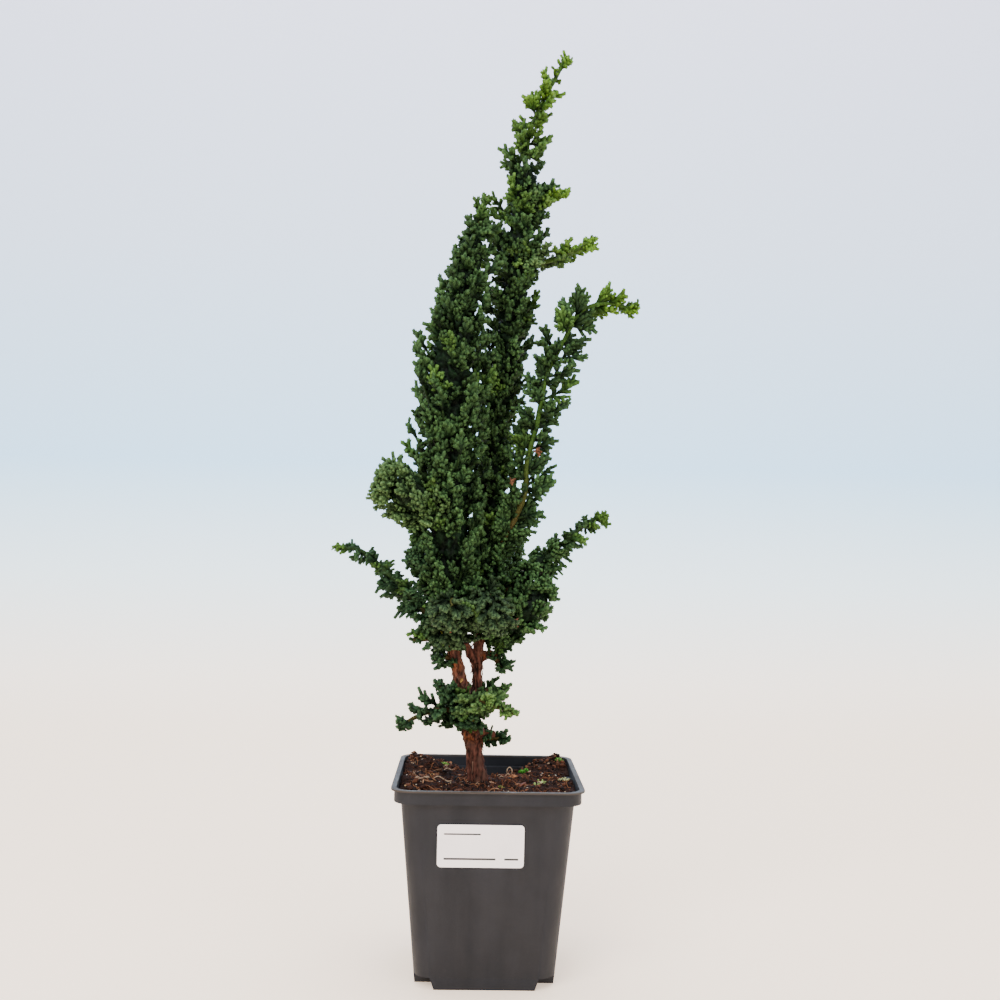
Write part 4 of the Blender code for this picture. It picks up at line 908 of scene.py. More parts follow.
class Grower:
    """Grows the sprigs of one shoot round its stem."""

    def __init__(self, shoot):
        self.shoot = shoot
        self.rng = random.Random(shoot.seed * 31 + SEED)
        self.path = smooth_path(shoot.path, 0.5)
        self.fractions, self.length = fractions_of(self.path)
        self.frames = turning_frames(self.path)
        self.body = Body()
        self.sprigs = []
        self.arched = shoot.name in ARCHES
        self.fingers = shoot.name in DROOPING
        weights = [2 * math.pi * np.mean(reaches_at(shoot, f)) / openness(shoot, f) for f in self.fractions]
        self.step = self.length / (len(self.path) - 1)
        self.area = np.concatenate([[0], np.cumsum((np.array(weights[1:]) + weights[:-1]) / 2) * self.step])
        reach = float(np.mean(reaches_at(shoot, 1.0)))
        self.bushy_end = reach > BUSHY_END
        self.end_reach = reach * END_SHARE if self.bushy_end else END_REACH
        self.end_width = reach if self.bushy_end else END_REACH

    def lobe(self, place):
        """How far the outline swells or sinks at a place, so that it is not smooth."""
        return 1 - LOBE_DEPTH * max(0, 0.05 - noise.noise(Vector(place) / LOBE_SIZE + Vector((0, 0, 3.7))))

    def add_layer(self, spacing, share, depth, choices):
        """Sprays in a spiral from the shoot's seat to its tip."""
        wanted = max(3, round(self.area[-1] * share / spacing))
        placed = 0
        turns = 0
        while placed < wanted:
            place = (placed + self.rng.uniform(0, 2)) / wanted * self.area[-1]
            fraction = float(np.interp(place, self.area, self.fractions))
            placed += self.add_spray(fraction, turns * self.shoot.turn, share, depth, choices)
            turns += 1

    def add_spray(self, fraction, turn, share, depth, choices):
        """A twig with one to three sprigs in a fan at its end. Returns how many."""
        shoot = self.shoot
        rng = self.rng
        index = min(int(np.searchsorted(self.fractions, fraction)), len(self.path) - 1)
        along = self.frames[index][0]
        opposite = shoot.turn == OPPOSITE
        jitter = SPIRAL_JITTER if not opposite else ARCH_JITTER if self.arched else OPPOSITE_JITTER
        angle = math.radians(turn + rng.uniform(-jitter, jitter))
        radial = spoke(self.frames[index], angle)
        bushy = core_at(shoot, fraction) >= SKIN_FROM
        lean = rng.uniform(*BUSHY_LEANS) if bushy else shoot.lean + rng.uniform(*LEAN_SPREAD)
        lean = math.radians(lean * (0.6 + 0.4 * clamp((1 - fraction) / LEAN_FADE)))
        out = reach_at(shoot, fraction, angle) * share * rng.uniform(*SPRAY_OUT)
        out *= self.lobe(self.path[index] + radial * out)
        if self.arched:
            out *= 1 - ARCH_FLAT * max(0.0, radial[2])
        if self.fingers:
            out *= 1 - FINGER_SHORT * max(0.0, -radial[2])
        root = self.path[max(0, index - int(out / math.tan(lean) / self.step))]
        side = np.cross(along, radial) * out * rng.uniform(-SPRAY_SWAY, SPRAY_SWAY)
        outward = self.path[index] + radial * out + side - root
        far = np.linalg.norm(outward)
        direction = outward / far
        longest = FINGER_SIZE if self.fingers else 1.0
        size = min(rng.uniform(*SPRIG_SIZES) * longest, max(0.5, far / SPRIG_LENGTH))
        twig = far * FINGER_TWIG if self.fingers else max(far - SPRIG_LENGTH * size, 0)
        flat = along if opposite else np.cross(along, radial)
        most = PAIR_ROLL if opposite else TUFT_ROLL
        if not opposite and (self.fingers or bushy and rng.random() < FLAT_SHARE):
            most = FLAT_ROLL
        roll = math.radians(rng.uniform(-most, most))
        fan = flat * math.cos(roll) + np.cross(direction, flat) * math.sin(roll)
        fan = unit(fan - direction * fan.dot(direction))
        light = rng.uniform(*SPRAY_LIGHTS)
        young = max(youth(shoot, fraction), FRESH if depth == 0 and rng.random() < FRESH_SHARE else 0)
        count = 1 if self.fingers else 1 + sum(far > limit for limit in SPRAY_FROM)
        for number in range(count):
            self.add_sprig(number, root, direction, twig, size, fan, light, young, depth, choices)
        if twig > BARE_TWIG:
            link = smooth_path([root, root + direction * twig * 0.5, root + direction * (twig + 1)], 2.0)
            self.body.add_toned(tube(link, np.linspace(*TWIG_RADII, len(link)), 4), TWIG_GREEN)
        return count

    def add_sprig(self, number, root, direction, twig, size, fan, light, young, depth, choices):
        """A sprig of a spray: the first goes straight on, and the next two to either side of it."""
        rng = self.rng
        normal = np.cross(direction, fan)
        place = root + direction * twig
        heading = direction
        if number > 0:
            swing = math.radians(rng.uniform(*FAN_ANGLES)) * (1 if number == 1 else -1)
            heading = direction * math.cos(swing) + fan * math.sin(swing)
            place = root + direction * (twig * rng.uniform(*SIDE_TWIGS))
            size *= rng.uniform(*SIDE_SIZES)
        heading = unit(heading + normal * rng.uniform(-SPRIG_SWAY, SPRIG_SWAY))
        if self.fingers:
            heading = unit(heading - UP * FINGER_FALL)
        pull = PULL_DOWN if self.fingers or self.arched else PULL_UP
        thick = FINGER_THICK if self.fingers else max(size, SLIMMEST)
        bend = UP * (pull * rng.uniform(0.1, 1.2)) * size
        tilt = math.radians(rng.uniform(-SPRIG_TILT, SPRIG_TILT)) * (0.5 if self.fingers else 1)
        self.sprigs.append(Sprig(rng.choice(choices), place, size, thick, heading,
                                 fan * math.cos(tilt) + normal * math.sin(tilt), bend,
                                 young * rng.uniform(0.7, 1.1), depth, light * rng.uniform(0.9, 1.1)))

    def add_end(self, kinds, share=1.0):
        """The sprigs that close the shoot's far end, or the ones inside it."""
        along, across, _ = self.frames[-1]
        count = 2 + round(2 * math.pi * self.end_width ** 2 / END_AREA) if self.bushy_end else 1
        for i in range(count):
            lean = math.acos(1 - i / count)
            radial = spoke(self.frames[-1], math.radians(SPIRAL * i))
            direction = unit(along * math.cos(lean) + radial * math.sin(lean))
            size = min(1.0, max(0.75, self.end_reach / SPRIG_LENGTH))
            out = mix(self.end_reach, self.end_width, math.sin(lean) ** 2)
            out *= share * self.lobe(self.path[-1] + direction * out)
            place = self.path[-1] + direction * (out - SPRIG_LENGTH * size)
            if self.fingers:
                place = self.path[-1] + direction * out * 0.4
                direction = unit(direction * 0.7 - UP * FINGER_FALL)
                size = self.rng.uniform(0.9, 1.1)
            self.sprigs.append(Sprig(self.rng.randrange(kinds), place, size, max(size, 0.82), direction,
                                     unit(across + along * 0.01), UP * 0.6, youth(self.shoot, 1.0), 0.0,
                                     self.rng.uniform(0.9, 1.2)))

    def add_shade_skin(self):
        """The dark, knobbly inside of the bushy part: a dark mesh of painted shade where the inside of the
        foliage lies in shade, with the knobs that stand out painted lighter and those sunk in darker.
        """
        shoot = self.shoot
        step = max(1, round(SKIN_STEP / self.step))
        picks = [i for i in range(0, len(self.path), step) if core_at(shoot, self.fractions[i]) >= SKIN_FROM]
        if len(picks) < 4:
            return
        cores = [core_at(shoot, self.fractions[i]) for i in picks]
        sides = max(8, round(2 * math.pi * max(cores) / SKIN_STEP))
        knobs = []
        rises = []
        for k, (i, core) in enumerate(zip(picks, cores)):
            end = min(1.0, 0.4 + 0.3 * k, 0.4 + 0.3 * (len(picks) - 1 - k))
            for number in range(sides):
                angle = 2 * math.pi * (number + 0.5 * (k % 2)) / sides
                radial = spoke(self.frames[i], angle)
                radius = min(reach_at(shoot, self.fractions[i], angle) * SKIN_SHARE, core) * end
                rise = self.rng.uniform(-1, 1)
                radius *= self.lobe(self.path[i] + radial * radius * 1.6)
                knobs.append(self.path[i] + radial * (radius + SKIN_ROUGH * rise)
                             + self.frames[i][0] * self.rng.uniform(-0.4, 0.4))
                rises.append(rise)
        verts = np.vstack([*knobs, self.path[picks[0]], self.path[picks[-1]]])
        # Painted shade: the knobs sunk in are darker, those that stand out lighter
        light = np.clip(np.array([*rises, 0, 0]) * 0.5 + 0.5, 0, 1)[:, None] ** 2
        inner, rods, _ = np.array(LEAF_TONES[shoot.colour])
        self.body.add(verts, *ring_faces(len(picks), sides), mix(inner * 0.4, rods * 0.9, light))

    def add_stem(self):
        places = self.fractions[::4]
        verts, quads, tris, along = tube(self.path[::4], mix(STEM_RADIUS, STEM_TIP_RADIUS, places), 8)
        green = along if self.shoot.name in GREEN_STEMS else along * 0.2
        far = TWIG_GREEN if self.arched else STEM_GREEN
        colours = mix(np.array(STEM_BROWN), np.array(far), np.clip(green * 2.4, 0, 1)[:, None])
        self.body.add(verts, quads, tris, colours)


def grow(shoot, kinds, inner_kinds):
    """All of one shoot: its stem, its dark core of painted shade, and the sprigs round them."""
    grower = Grower(shoot)
    outer = range(len(kinds))
    inner = range(len(kinds), len(kinds) + len(inner_kinds))
    grower.add_layer(SPRIG_AREA, 1.0, 0.0, outer)
    if max(reaches_at(shoot, 0.5)) > INNER_FROM:
        grower.add_layer(INNER_AREA, INNER_REACH, 1.0, inner)
    grower.add_end(len(kinds))
    if min(reaches_at(shoot, 1.0)) > DOUBLE_END:
        grower.add_end(len(kinds), INNER_REACH)
    place_sprigs(grower.body, shoot, grower.sprigs, [*kinds, *inner_kinds])
    grower.add_stem()
    if not grower.fingers:
        grower.add_shade_skin()
    return grower.body


def feed(mat, socket, value):
    """Set a socket, or link it where the value is another node's output."""
    if isinstance(value, bpy.types.NodeSocket):
        mat.node_tree.links.new(value, socket)
    else:
        socket.default_value = value


def node(mat, kind, **inputs):
    made = mat.node_tree.nodes.new(kind)
    for name, value in inputs.items():
        feed(mat, made.inputs[name.replace("_", " ")], value)
    return made


def feed_shader(mat, name, value):
    feed(mat, mat.node_tree.nodes["Principled BSDF"].inputs[name], value)


def new_material(name, colour, roughness, gloss=0.5):
    mat = bpy.data.materials.new(name)
    mat.use_nodes = True
    feed_shader(mat, "Base Color", (*colour, 1))
    feed_shader(mat, "Roughness", roughness)
    feed_shader(mat, "Specular IOR Level", gloss)
    return mat


def grain_of(mat, scale, detail=4.0, stretch=(1, 1, 1)):
    """Noise in the object's own metres, stretched along its axes."""
    place = node(mat, "ShaderNodeTexCoord").outputs["Object"]
    turn = node(mat, "ShaderNodeMapping", Vector=place, Scale=stretch)
    return node(mat, "ShaderNodeTexNoise", Vector=turn.outputs["Vector"], Scale=scale,
                Detail=detail).outputs["Fac"]


def tone_of(mat):
    """The piece's own colours, one for each vertex."""
    tone = node(mat, "ShaderNodeAttribute")
    tone.attribute_name = "tone"
    return tone.outputs["Color"]


def moved(mat, value, lowest, highest, start=NOISE_RANGE[0], end=NOISE_RANGE[1]):
    """A number that goes from lowest to highest as a value goes from start to end."""
    return node(mat, "ShaderNodeMapRange", Value=value, From_Min=start, From_Max=end, To_Min=lowest,
                To_Max=highest).outputs["Result"]


def height_share(mat, low, high):
    """How far up the object a place is, between two heights: 0 to 1."""
    place = node(mat, "ShaderNodeTexCoord").outputs["Object"]
    return moved(mat, node(mat, "ShaderNodeSeparateXYZ", Vector=place).outputs["Z"], 0, 1, low, high)


def vary_colour(mat, source, fac, darkest, lightest):
    """Multiply a colour by a grey that a factor moves between two values."""
    scale = node(mat, "ShaderNodeVectorMath")
    scale.operation = "SCALE"
    feed(mat, scale.inputs[0], source)
    feed(mat, scale.inputs["Scale"], moved(mat, fac, darkest, lightest))
    feed_shader(mat, "Base Color", scale.outputs["Vector"])


def vary_roughness(mat, fac, low, high):
    feed_shader(mat, "Roughness", moved(mat, fac, low, high))


def blend_colours(mat, fac, rows):
    """Let a factor move the colour between the given places."""
    ramp = node(mat, "ShaderNodeValToRGB", Fac=fac)
    marks = ramp.color_ramp.elements
    marks[0].position, marks[0].color = rows[0][0], (*rows[0][1], 1)
    marks[1].position, marks[1].color = rows[-1][0], (*rows[-1][1], 1)
    for place, colour in rows[1:-1]:
        marks.new(place).color = (*colour, 1)
    feed_shader(mat, "Base Color", ramp.outputs["Color"])
    return ramp.outputs["Color"]


def two_tones(mat, fac, tones):
    return blend_colours(mat, fac, tuple(zip(NOISE_RANGE, tones)))


def add_bump(mat, height, distance):
    bump = node(mat, "ShaderNodeBump", Strength=1.0, Distance=distance, Height=height)
    feed_shader(mat, "Normal", bump.outputs["Normal"])


def toned_material(name, roughness, scale, stretch, depth, spread):
    """A material whose colour comes from the piece's own tones, with a fine grain."""
    mat = new_material(name, (0.1, 0.1, 0.1), roughness, DRY_GLOSS)
    grain = grain_of(mat, scale, 3.0, stretch)
    vary_colour(mat, tone_of(mat), grain, 1 - spread, 1 + spread)
    vary_roughness(mat, grain, roughness - 0.08, roughness + 0.08)
    add_bump(mat, grain, depth)
    return mat


def leaf_material(name):
    """Scale leaves: small overlapping cells, a little waxy."""
    mat = new_material(name, (0.02, 0.06, 0.02), 0.5, LEAF_GLOSS)
    place = node(mat, "ShaderNodeTexCoord").outputs["Object"]
    cells = node(mat, "ShaderNodeTexVoronoi", Vector=place, Scale=LEAF_CELLS).outputs["Distance"]
    vary_colour(mat, tone_of(mat), cells, 1.18, 0.72)
    vary_roughness(mat, grain_of(mat, 300.0), 0.42, 0.62)
    add_bump(mat, cells, -0.22 * MM)
    return mat


def lip_painted_highlight(mat, tone):
    """Turn a colour paler towards the top of the lip: a painted highlight where the light falls on it."""
    blend = node(mat, "ShaderNodeMix")
    blend.data_type = "RGBA"
    share = height_share(mat, POT_HEIGHT - LIP_THICK * 1.3, POT_HEIGHT - LIP_THICK * 0.5)
    for number, value in ((0, share), (6, tone), (7, (*LIP_HIGHLIGHT_TONE, 1))):
        feed(mat, blend.inputs[number], value)
    return blend.outputs[2]


def pot_material():
    mat = new_material("pot_plastic", POT_TONES[0], 0.5, POT_GLOSS)
    tone = lip_painted_highlight(mat, two_tones(mat, grain_of(mat, 90.0, 6.0, (1, 1, 0.1)), POT_TONES))
    vary_colour(mat, tone, grain_of(mat, 60.0, 8.0), 0.9, 1.12)
    vary_roughness(mat, grain_of(mat, 120.0, 5.0, (1, 1, 0.3)), 0.50, 0.66)
    add_bump(mat, grain_of(mat, 900.0, 3.0), 0.05 * MM)
    return mat


def label_material():
    mat = new_material("label_paper", LABEL_TONES[0], 0.5)
    two_tones(mat, grain_of(mat, 90.0), LABEL_TONES)
    add_bump(mat, grain_of(mat, 700.0), 0.02 * MM)
    return mat


def peat_material():
    mat = new_material("peat", GROUND_TONES[0], 0.95, DRY_GLOSS)
    two_tones(mat, grain_of(mat, 500.0, 6.0), GROUND_TONES)
    add_bump(mat, grain_of(mat, 700.0, 6.0), 0.8 * MM)
    return mat


def stage_material():
    """Pale cream at the floor, paler blue higher up."""
    mat = new_material("stage", (0.9, 0.9, 0.9), 0.8)
    colour = blend_colours(mat, height_share(mat, 0.0, STAGE_HEIGHT), STAGE_TONES)
    feed_shader(mat, "Emission Color", colour)
    feed_shader(mat, "Emission Strength", STAGE_GLOW)
    return mat


def build_pot(material):
    """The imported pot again, with finer corners and softened edges."""
    wall_top = BAND_BOTTOM + 2 * BLOCK_OVERLAP
    lip_bottom = POT_HEIGHT - LIP_THICK
    pot = block("pot_detail", FOOT_HEIGHT, wall_top, FOOT_HALF, wall_half(wall_top), POT_CORNER)
    band = block("band", BAND_BOTTOM, lip_bottom + LIP_THICK / 2, BAND_HALF, BAND_HALF, POT_CORNER)
    lip = block("lip", lip_bottom, POT_HEIGHT, LIP_HALF, LIP_HALF, POT_CORNER)
    combine(pot, [band, lip, *foot_arms(0, FOOT_HEIGHT + FLOOR / 2)], "UNION")
    cutters = pot_inside(WALL)
    for side_x in (-DRAIN_OFFSET, DRAIN_OFFSET):
        for side_y in (-DRAIN_OFFSET, DRAIN_OFFSET):
            cutters.append(block("drain", FOOT_HEIGHT - DRAIN_DEPTH, FOOT_HEIGHT + DRAIN_RISE, DRAIN_HALF,
                                 DRAIN_HALF, centre=(side_x, side_y)))
    combine(pot, cutters, "DIFFERENCE")
    edges = pot.modifiers.new("edges", "BEVEL")
    edges.width = POT_EDGE
    edges.segments = 3
    edges.limit_method = "ANGLE"
    edges.angle_limit = math.radians(40)
    settle(pot)
    shade_by_angle(pot, 35)
    return paint(pot, material)


def rounded_sheet(name, width, height, corner, thick, material):
    """A thin upright sheet with rounded corners, facing -Y, centred on the origin."""
    outline = bpy.data.curves.new(name, "CURVE")
    outline.dimensions = "2D"
    outline.fill_mode = "BOTH"
    outline.extrude = thick / 2
    points = []
    for sx, sy, start in ((1, 1, 0), (-1, 1, 90), (-1, -1, 180), (1, -1, 270)):
        for step in range(SHEET_STEPS + 1):
            angle = math.radians(start + 90 * step / SHEET_STEPS)
            points.append((sx * (width / 2 - corner) + corner * math.cos(angle),
                           sy * (height / 2 - corner) + corner * math.sin(angle)))
    spline = outline.splines.new("POLY")
    spline.points.add(len(points) - 1)
    for point, (x, y) in zip(spline.points, points):
        point.co = (x, y, 0, 1)
    spline.use_cyclic_u = True
    flat = link_object(name, outline)
    mesh = evaluated_mesh(flat)
    bpy.data.objects.remove(flat)
    mesh.transform(Matrix.Rotation(math.radians(90), 4, "X"))
    return paint(link_object(name, mesh), material)


def on_label(sheet, across, up, off):
    """Lay a sheet on the front wall: across and up from the label's middle, and off the wall."""
    place = Matrix.Translation((LABEL_X, -wall_half(LABEL_HEIGHT), LABEL_HEIGHT))
    turn = Matrix.Rotation(math.atan(WALL_SLOPE), 4, "X")
    sheet.data.transform(place @ turn @ Matrix.Translation((across, -off, up)))
    return sheet


def build_label(paper, ink):
    """The sticker and its three plain ruled lines."""
    label = rounded_sheet("label_detail", *LABEL_SIZE, LABEL_CORNER, LABEL_THICK, paper)
    on_label(label, 0, 0, GAP + LABEL_THICK / 2)
    marks = []
    for number, (across, up, width, height) in enumerate(LABEL_MARKS):
        mark = rounded_sheet(f"label_mark_{number}", width, height, height * 0.3, INK_THICK, ink)
        marks.append(on_label(mark, across, up, GAP + LABEL_THICK + INK_THICK / 2))
    return label, marks


def ground_height(x, y):
    """The soil's surface with its fine lumps, in metres."""
    place = Vector((x, y, 0)) / MM
    return soil_height(x, y) + (0.9 * noise.noise(place * 0.35) + 0.8 * noise.noise(place * 0.9)) * MM


def build_soil(material):
    """The packed soil again, with a finer surface."""
    soil, *rest = pot_inside(WALL + GAP)
    soil.name = "soil_detail"
    combine(soil, rest, "UNION")
    bm = bmesh.new()
    bmesh.ops.create_grid(bm, x_segments=SOIL_FINE_CELLS, y_segments=SOIL_FINE_CELLS, size=SOIL_GRID_HALF)
    skirt = bmesh.ops.extrude_face_region(bm, geom=bm.faces[:])
    lower = {v for v in skirt["geom"] if isinstance(v, bmesh.types.BMVert)}
    for v in bm.verts:
        v.co.z = SOIL_UNDERSIDE if v in lower else ground_height(v.co.x, v.co.y)
    bmesh.ops.recalc_face_normals(bm, faces=bm.faces)
    combine(soil, [bmesh_object("ground", bm)], "INTERSECT", "MANIFOLD")
    shade_by_angle(soil, 60)
    return paint(soil, material)


def inside_pot(x, y, z, margin):
    half = BAND_HALF - WALL if z > BAND_BOTTOM + WALL else wall_half(z, WALL)
    half -= margin
    corner = POT_CORNER - WALL
    if max(abs(x), abs(y)) > half:
        return False
    over = (abs(x) - (half - corner), abs(y) - (half - corner))
    return min(over) < 0 or math.hypot(*over) < corner


def ground_spot(x, y, margin):
    """A place on the soil's surface, or None where it isn't inside the pot. Metres."""
    z = ground_height(x, y)
    return np.array([x, y, z]) if inside_pot(x, y, z, margin) else None


def soil_places(rng, count, margin):
    """Random places on the soil, in metres, clear of the pot and the trunk."""
    places = []
    while len(places) < count:
        x = rng.uniform(-BAND_HALF, BAND_HALF)
        y = rng.uniform(-BAND_HALF, BAND_HALF)
        spot = ground_spot(x, y, margin)
        from_trunk = math.hypot(x - TRUNK_FOOT[0], y - TRUNK_FOOT[1])
        if spot is not None and from_trunk > TRUNK_FOOT_RADIUS + TRUNK_MARGIN:
            places.append(Vector(spot))
    return places


def heap_places(rng):
    """Places in the heaps of peat in the pot's corners, in metres."""
    places = []
    for x, y, spread, height, count in HEAPS:
        for _ in range(count):
            across = rng.gauss(0, spread)
            back = rng.gauss(0, spread)
            spot = ground_spot((x + across) * MM, (y + back) * MM, HEAP_MARGIN)
            if spot is not None:
                rise = height * max(0, 1 - math.hypot(across, back) / (2 * spread))
                places.append(Vector(spot + UP * (rng.uniform(0, rise) * MM)))
    return places


def lump_shapes(rng, count, squash, subdivisions):
    """Rough lumps of unit size, as (verts, tris)."""
    shapes = []
    for i in range(count):
        bm = bmesh.new()
        bmesh.ops.create_icosphere(bm, subdivisions=subdivisions, radius=1)
        offset = Vector((i * 7.3, rng.uniform(0, 9), 0))
        for v in bm.verts:
            v.co *= 1 + sum(rise * noise.noise(v.co * fine + offset) for rise, fine in LUMP_BUMPS)
            v.co.z *= squash
        bm.verts.ensure_lookup_table()
        shapes.append((np.array([v.co[:] for v in bm.verts]),
                       np.array([[v.index for v in f.verts] for f in bm.faces])))
        bm.free()
    return shapes


def add_lumps(body, rng, shapes, places, sizes, tones, stretch=1.6):
    """Lumps at random turns and sizes, each in a tone between two of the given ones."""
    for place in places:
        verts, tris = rng.choice(shapes)
        size = rng.uniform(*sizes) * rng.uniform(0.7, 1.0)
        turn = np.array(Matrix.Rotation(rng.uniform(0, FULL_TURN), 3, "Z")
                        @ Matrix.Rotation(rng.uniform(-LUMP_TILT, LUMP_TILT), 3, "X"))
        scale = (size * rng.uniform(1, stretch), size, size * LUMP_HEIGHT)
        lump = (verts * scale) @ turn.T + np.array(place) / MM
        tone = mix(np.array(rng.choice(tones)), np.array(rng.choice(tones)), rng.random())
        body.add(lump, np.zeros((0, 4), dtype=int), tris, np.tile(tone, (len(verts), 1)))


def add_fibres(body, rng, places, lengths, radii, tones, lift):
    """Thin curved rootlets and peat fibres that lie on the soil."""
    for place in places:
        length = rng.uniform(*lengths)
        heading = rng.uniform(0, FULL_TURN)
        turn = rng.uniform(-FIBRE_CURVE, FIBRE_CURVE)
        points = []
        last = np.array(place) / MM
        for k in range(5):
            angle = heading + turn * k / 2
            step = np.array([math.cos(angle), math.sin(angle), 0]) * length / 5
            x, y = (last + step)[:2] * MM
            spot = ground_spot(x, y, FIBRE_MARGIN)
            if spot is None:
                break
            last = spot / MM + UP * (rng.uniform(0.0, lift) * (ARCH_LIFT if k in (1, 2) else 1))
            points.append(last)
        if len(points) > 2:
            path = smooth_path(points, length / 9)
            radius = rng.uniform(*radii)
            tone = np.array(rng.choice(tones)) * rng.uniform(0.8, 1.2)
            body.add_toned(tube(path, np.full(len(path), radius), 5), tone)


def add_moss(body, rng):
    """Little cushions of moss and leaf bits."""
    for x, y, spread, count, tone in MOSS:
        for _ in range(count):
            spot = ground_spot((x + rng.gauss(0, spread)) * MM, (y + rng.gauss(0, spread * 0.7)) * MM,
                               MOSS_MARGIN)
            if spot is None:
                continue
            up = unit(np.array([rng.uniform(-MOSS_LEAN, MOSS_LEAN), rng.uniform(-MOSS_LEAN, MOSS_LEAN), 1]))
            root = spot / MM - up * MOSS_SINK
            tuft = rod(root, up, rng.uniform(*MOSS_LENGTHS), rng.uniform(*MOSS_RADII), 4, up * 0)
            body.add_toned(tuft, np.array(tone) * rng.uniform(0.6, 1.3), 0.5, 1.0)


def add_curl(body, centre, radius, tone):
    """A thin root that stands up in a loop."""
    x, y, rise = centre
    middle = np.array([x, y, ground_height(x * MM, y * MM) / MM + rise])
    turns = np.radians(np.linspace(-100, 230, 14))[:, None]
    path = middle + np.cos(turns) * (radius * 0.8, 0.4, 0) + np.sin(turns) * (0, 0.5, radius * 1.2)
    body.add_toned(tube(path, np.full(len(path), CURL_THICK), 6), tone)


def build_litter(material):
    """Everything that lies on the soil, as one piece."""
    rng = random.Random(SEED + 5)
    body = Body()
    shapes = {name: lump_shapes(rng, *row) for name, row in LUMPS.items()}
    for name, count, margin, sizes, tones, stretch in LITTER:
        places = soil_places(rng, count, margin * MM) if count else heap_places(rng)
        add_lumps(body, rng, shapes[name], places, sizes, tones, stretch)
    for x, y, size, tone in BIG_CHIPS:
        place = Vector((x * MM, y * MM, ground_height(x * MM, y * MM)))
        add_lumps(body, rng, shapes["flat"], [place], (size, size), (tone,))
    for count, margin, *row in FIBRES:
        add_fibres(body, rng, soil_places(rng, count, margin * MM), *row)
    add_curl(body, *ROOT_CURL, ROOT_TONES[0])
    add_moss(body, rng)
    return body.make("soil_litter", material)


def drawn(row):
    """A smooth path through points of (x, y, z, radius), and the radius at each of its places."""
    points = np.array(row)
    path = smooth_path(points[:, :3], 1.0)
    return path, np.interp(fractions_of(path)[0], fractions_of(points[:, :3])[0], points[:, 3])


def bark_noise(at, across, up, offset=(0, 0, 0)):
    """Noise that is drawn out along the wood."""
    return noise.noise(Vector((at.x * across, at.y * across, at.z * up)) + Vector(offset))


def build_wood(material):
    """Trunk, leaders and stubs, melted together, with fibrous bark."""
    body = Body()
    for row in (TRUNK, LEFT_WOOD, RIGHT_WOOD, *STUBS, *COLLAR):
        body.add_toned(tube(*drawn(row), 20), BARK_DARK)
    wood = body.make("wood_detail", material)
    melt = wood.modifiers.new("melt", "REMESH")
    melt.mode = "VOXEL"
    melt.voxel_size = WOOD_VOXEL
    melt.use_smooth_shade = True
    settle(wood)
    mesh = paint(wood, material).data
    places = np.empty((len(mesh.vertices), 3))
    normals = np.empty_like(places)
    mesh.vertices.foreach_get("co", places.ravel())
    mesh.vertices.foreach_get("normal", normals.ravel())
    dark, light, grey, cut = np.array((BARK_DARK, BARK_LIGHT, BARK_GREY, BARK_SCAR))
    colours = np.empty_like(places)
    for i, (place, normal) in enumerate(zip(places, normals)):
        at = Vector(place) / MM
        fibre = noise.fractal(Vector((at.x * 0.75, at.y * 0.75, at.z * 0.13)), 0.7, 2.1, 4)
        flake = bark_noise(at, 0.35, 0.12, (9, 4, 2))
        lump = noise.noise(at * 0.22)
        grain = bark_noise(at, 1.6, 0.5, (3, 5, 1))
        rough = FIBRE_RELIEF * fibre + (FLAKE_RELIEF if flake > FLAKE_START else 0.0)
        rough += LUMP_RELIEF * lump
        rough += GRAIN_RELIEF * grain
        scar = max(max(0.0, 1 - (at - Vector(c)).length / r) for c, r in BARK_SCARS)
        places[i] = place + normal * rough * MM * (1 + SCAR_RELIEF * scar)
        tone = mix(dark, light, clamp(0.45 + 0.9 * fibre + 0.6 * grain, 1.3))
        tone = mix(tone, grey, clamp(flake * 1.6, 0.7))
        bright = clamp(0.35 + 0.9 * lump + 0.6 * fibre + 1.2 * grain)
        colours[i] = mix(tone, cut, min(1.0, scar * 1.6) * bright)
    mesh.vertices.foreach_set("co", places.ravel())
    mesh.update()
    set_tones(mesh, colours)
    return wood


def add_flakes(body, rng):
    """Thin strips of bark that peel off along the wood."""
    rows = (TRUNK[2:], LEFT_WOOD, RIGHT_WOOD)
    paths = [smooth_path([point[:3] for point in row], 1.0) for row in rows]
    for _ in range(FLAKES):
        number = rng.choice((0, 1, 1, 2, 2))
        path = paths[number]
        _, _, heights, radii = zip(*rows[number])
        length = rng.randrange(*FLAKE_STEPS)
        start = rng.randrange(0, len(path) - length)
        angle = rng.uniform(0, FULL_TURN)
        lift = rng.uniform(*FLAKE_LIFTS) * rng.choice((-1, 1))
        points = []
        for k, middle in enumerate(path[start:start + length]):
            radius = float(np.interp(middle[2], heights, radii))
            peel = max(0.0, (k / (length - 1) - 0.5) * lift * 2)
            turn = angle + FLAKE_TWIST * k * lift
            out = radius + FLAKE_OFF + peel
            points.append(middle + np.array([math.cos(turn), math.sin(turn), 0]) * out)
        strip = tube(np.array(points), np.full(length, rng.uniform(*FLAKE_RADII)), 4)
        tone = mix(np.array(rng.choice(FLAKE_TONES)), np.array(rng.choice(FLAKE_TONES)), rng.random())
        body.add_toned(strip, tone, 0.8, 0.4)


def add_bits(body, rng):
    """Single dead and yellow twigs that catch the eye in the foliage."""
    for place, tone, count in LOOSE_BITS:
        for _ in range(count * 2):
            direction = unit(np.array([rng.uniform(-1, 1), rng.uniform(-0.8, 0), rng.uniform(-0.8, 0.8)]))
            root = np.array(place) + np.array([rng.uniform(-1.5, 1.5) for _ in range(3)])
            length = rng.uniform(*BIT_LENGTHS)
            twig = rod(root - direction * 2, direction, length, BIT_RADIUS, BIT_RINGS, UP * BIT_BEND)
            body.add_toned(twig, tone, 0.6, 0.6)


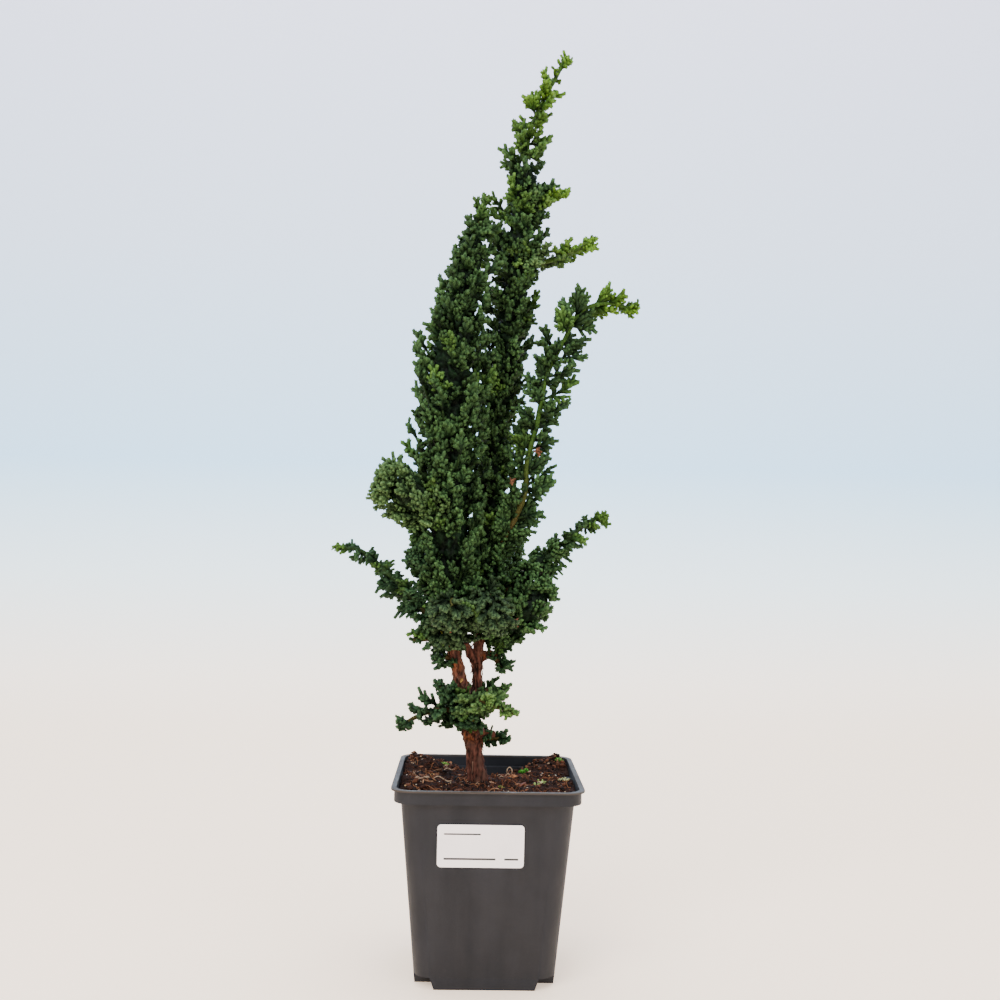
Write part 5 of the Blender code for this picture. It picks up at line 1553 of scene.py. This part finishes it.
def build_stage():
    """A floor that curves up into a backdrop."""
    profile = [(STAGE_FRONT, 0.0), (STAGE_DEPTH, 0.0)]
    for step in range(1, STAGE_STEPS + 1):
        angle = math.radians(90 * step / STAGE_STEPS)
        profile.append((STAGE_DEPTH + STAGE_BEND * math.sin(angle), STAGE_BEND * (1 - math.cos(angle))))
    profile.append((STAGE_DEPTH + STAGE_BEND, STAGE_HEIGHT))
    verts = [(x, y, z) for y, z in profile for x in (-STAGE_HALF, STAGE_HALF)]
    faces = [(2 * i, 2 * i + 1, 2 * i + 3, 2 * i + 2) for i in range(len(profile) - 1)]
    mesh = bpy.data.meshes.new("stage")
    mesh.from_pydata(verts, [], faces)
    mesh.polygons.foreach_set("use_smooth", [True] * len(faces))
    mesh.materials.append(stage_material())
    link_object("stage", mesh)


def add_light(name, place, target, size, power, colour):
    light = bpy.data.lights.new(name, "AREA")
    light.shape = "RECTANGLE"
    light.size, light.size_y = size
    light.energy = power
    light.color = colour
    ob = link_object(name, light)
    ob.location = place
    ob.rotation_mode = "QUATERNION"
    ob.rotation_quaternion = (Vector(target) - Vector(place)).to_track_quat("-Z", "Y")


def build_lights():
    for row in LIGHTS:
        add_light(*row)
    world = bpy.data.worlds.new("room")
    world.use_nodes = True
    background = world.node_tree.nodes["Background"]
    background.inputs["Color"].default_value = (*WORLD_COLOUR, 1)
    background.inputs["Strength"].default_value = WORLD_STRENGTH
    bpy.context.scene.world = world


def build_camera():
    camera = bpy.data.cameras.new("camera")
    camera.lens = CAMERA_LENS
    camera.sensor_width = SENSOR_WIDTH
    ob = link_object("camera", camera)
    forward = Vector(CAMERA_FORWARD).normalized()
    right = forward.cross(Vector(CAMERA_UP)).normalized()
    turn = Matrix((right, right.cross(forward), -forward)).transposed().to_4x4()
    ob.matrix_world = Matrix.Translation(CAMERA_PLACE) @ turn @ Matrix.Rotation(CAMERA_ROLL, 4, "Z")
    bpy.context.scene.camera = ob


def declare(piece, stands_for=None):
    """Every piece rides on the one body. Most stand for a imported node."""
    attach(piece, "root")
    if stands_for:
        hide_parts(stands_for)


def build_foliage():
    rng = random.Random(SEED)
    kinds = [make_sprig(rng, SIDE_LENGTHS, FAN_ROLL, *FULL_SPRIG) for _ in range(SPRIG_KINDS)]
    inner_kinds = [make_sprig(rng, SIDE_LENGTHS, FAN_ROLL, *INNER_SPRIG) for _ in range(INNER_KINDS)]
    fingers = [make_sprig(rng, FINGER_LENGTHS, FINGER_ROLL, *FINGER_SPRIG) for _ in range(SPRIG_KINDS)]
    materials = {slot: leaf_material(slot + "_scales") for slot in (DARK, MID, BRIGHT, GREY)}
    for shoot in SHOOTS:
        body = grow(shoot, fingers if shoot.name in DROOPING else kinds, inner_kinds)
        declare(body.make(shoot.name + "_leaves", materials[shoot.colour]), shoot.name)


def scatter(name, add, seed, material):
    """A piece of many small bits."""
    body = Body()
    add(body, random.Random(SEED + seed))
    return body.make(name, material)


def main():
    build_camera()
    build_foliage()
    declare(build_pot(pot_material()), "pot")
    ink = new_material("label_ink", (0.02, 0.02, 0.022), 0.6)
    label, marks = build_label(label_material(), ink)
    declare(label, "label")
    for mark in marks:
        declare(mark)
    bark = toned_material("bark_fibres", 0.8, 700.0, (1, 1, 0.2), 0.3 * MM, 0.3)
    dead = toned_material("dead_leaf", 0.8, 900.0, (1, 1, 1), 0.1 * MM, 0.2)
    litter = toned_material("litter", 0.85, 900.0, (1, 1, 1), 0.2 * MM, 0.35)
    declare(build_wood(bark), "wood")
    declare(scatter("dead_twigs", add_bits, 3, dead))
    declare(scatter("bark_flakes", add_flakes, 7, bark))
    declare(build_soil(peat_material()), "soil")
    declare(build_litter(litter))
    build_stage()
    build_lights()


main()
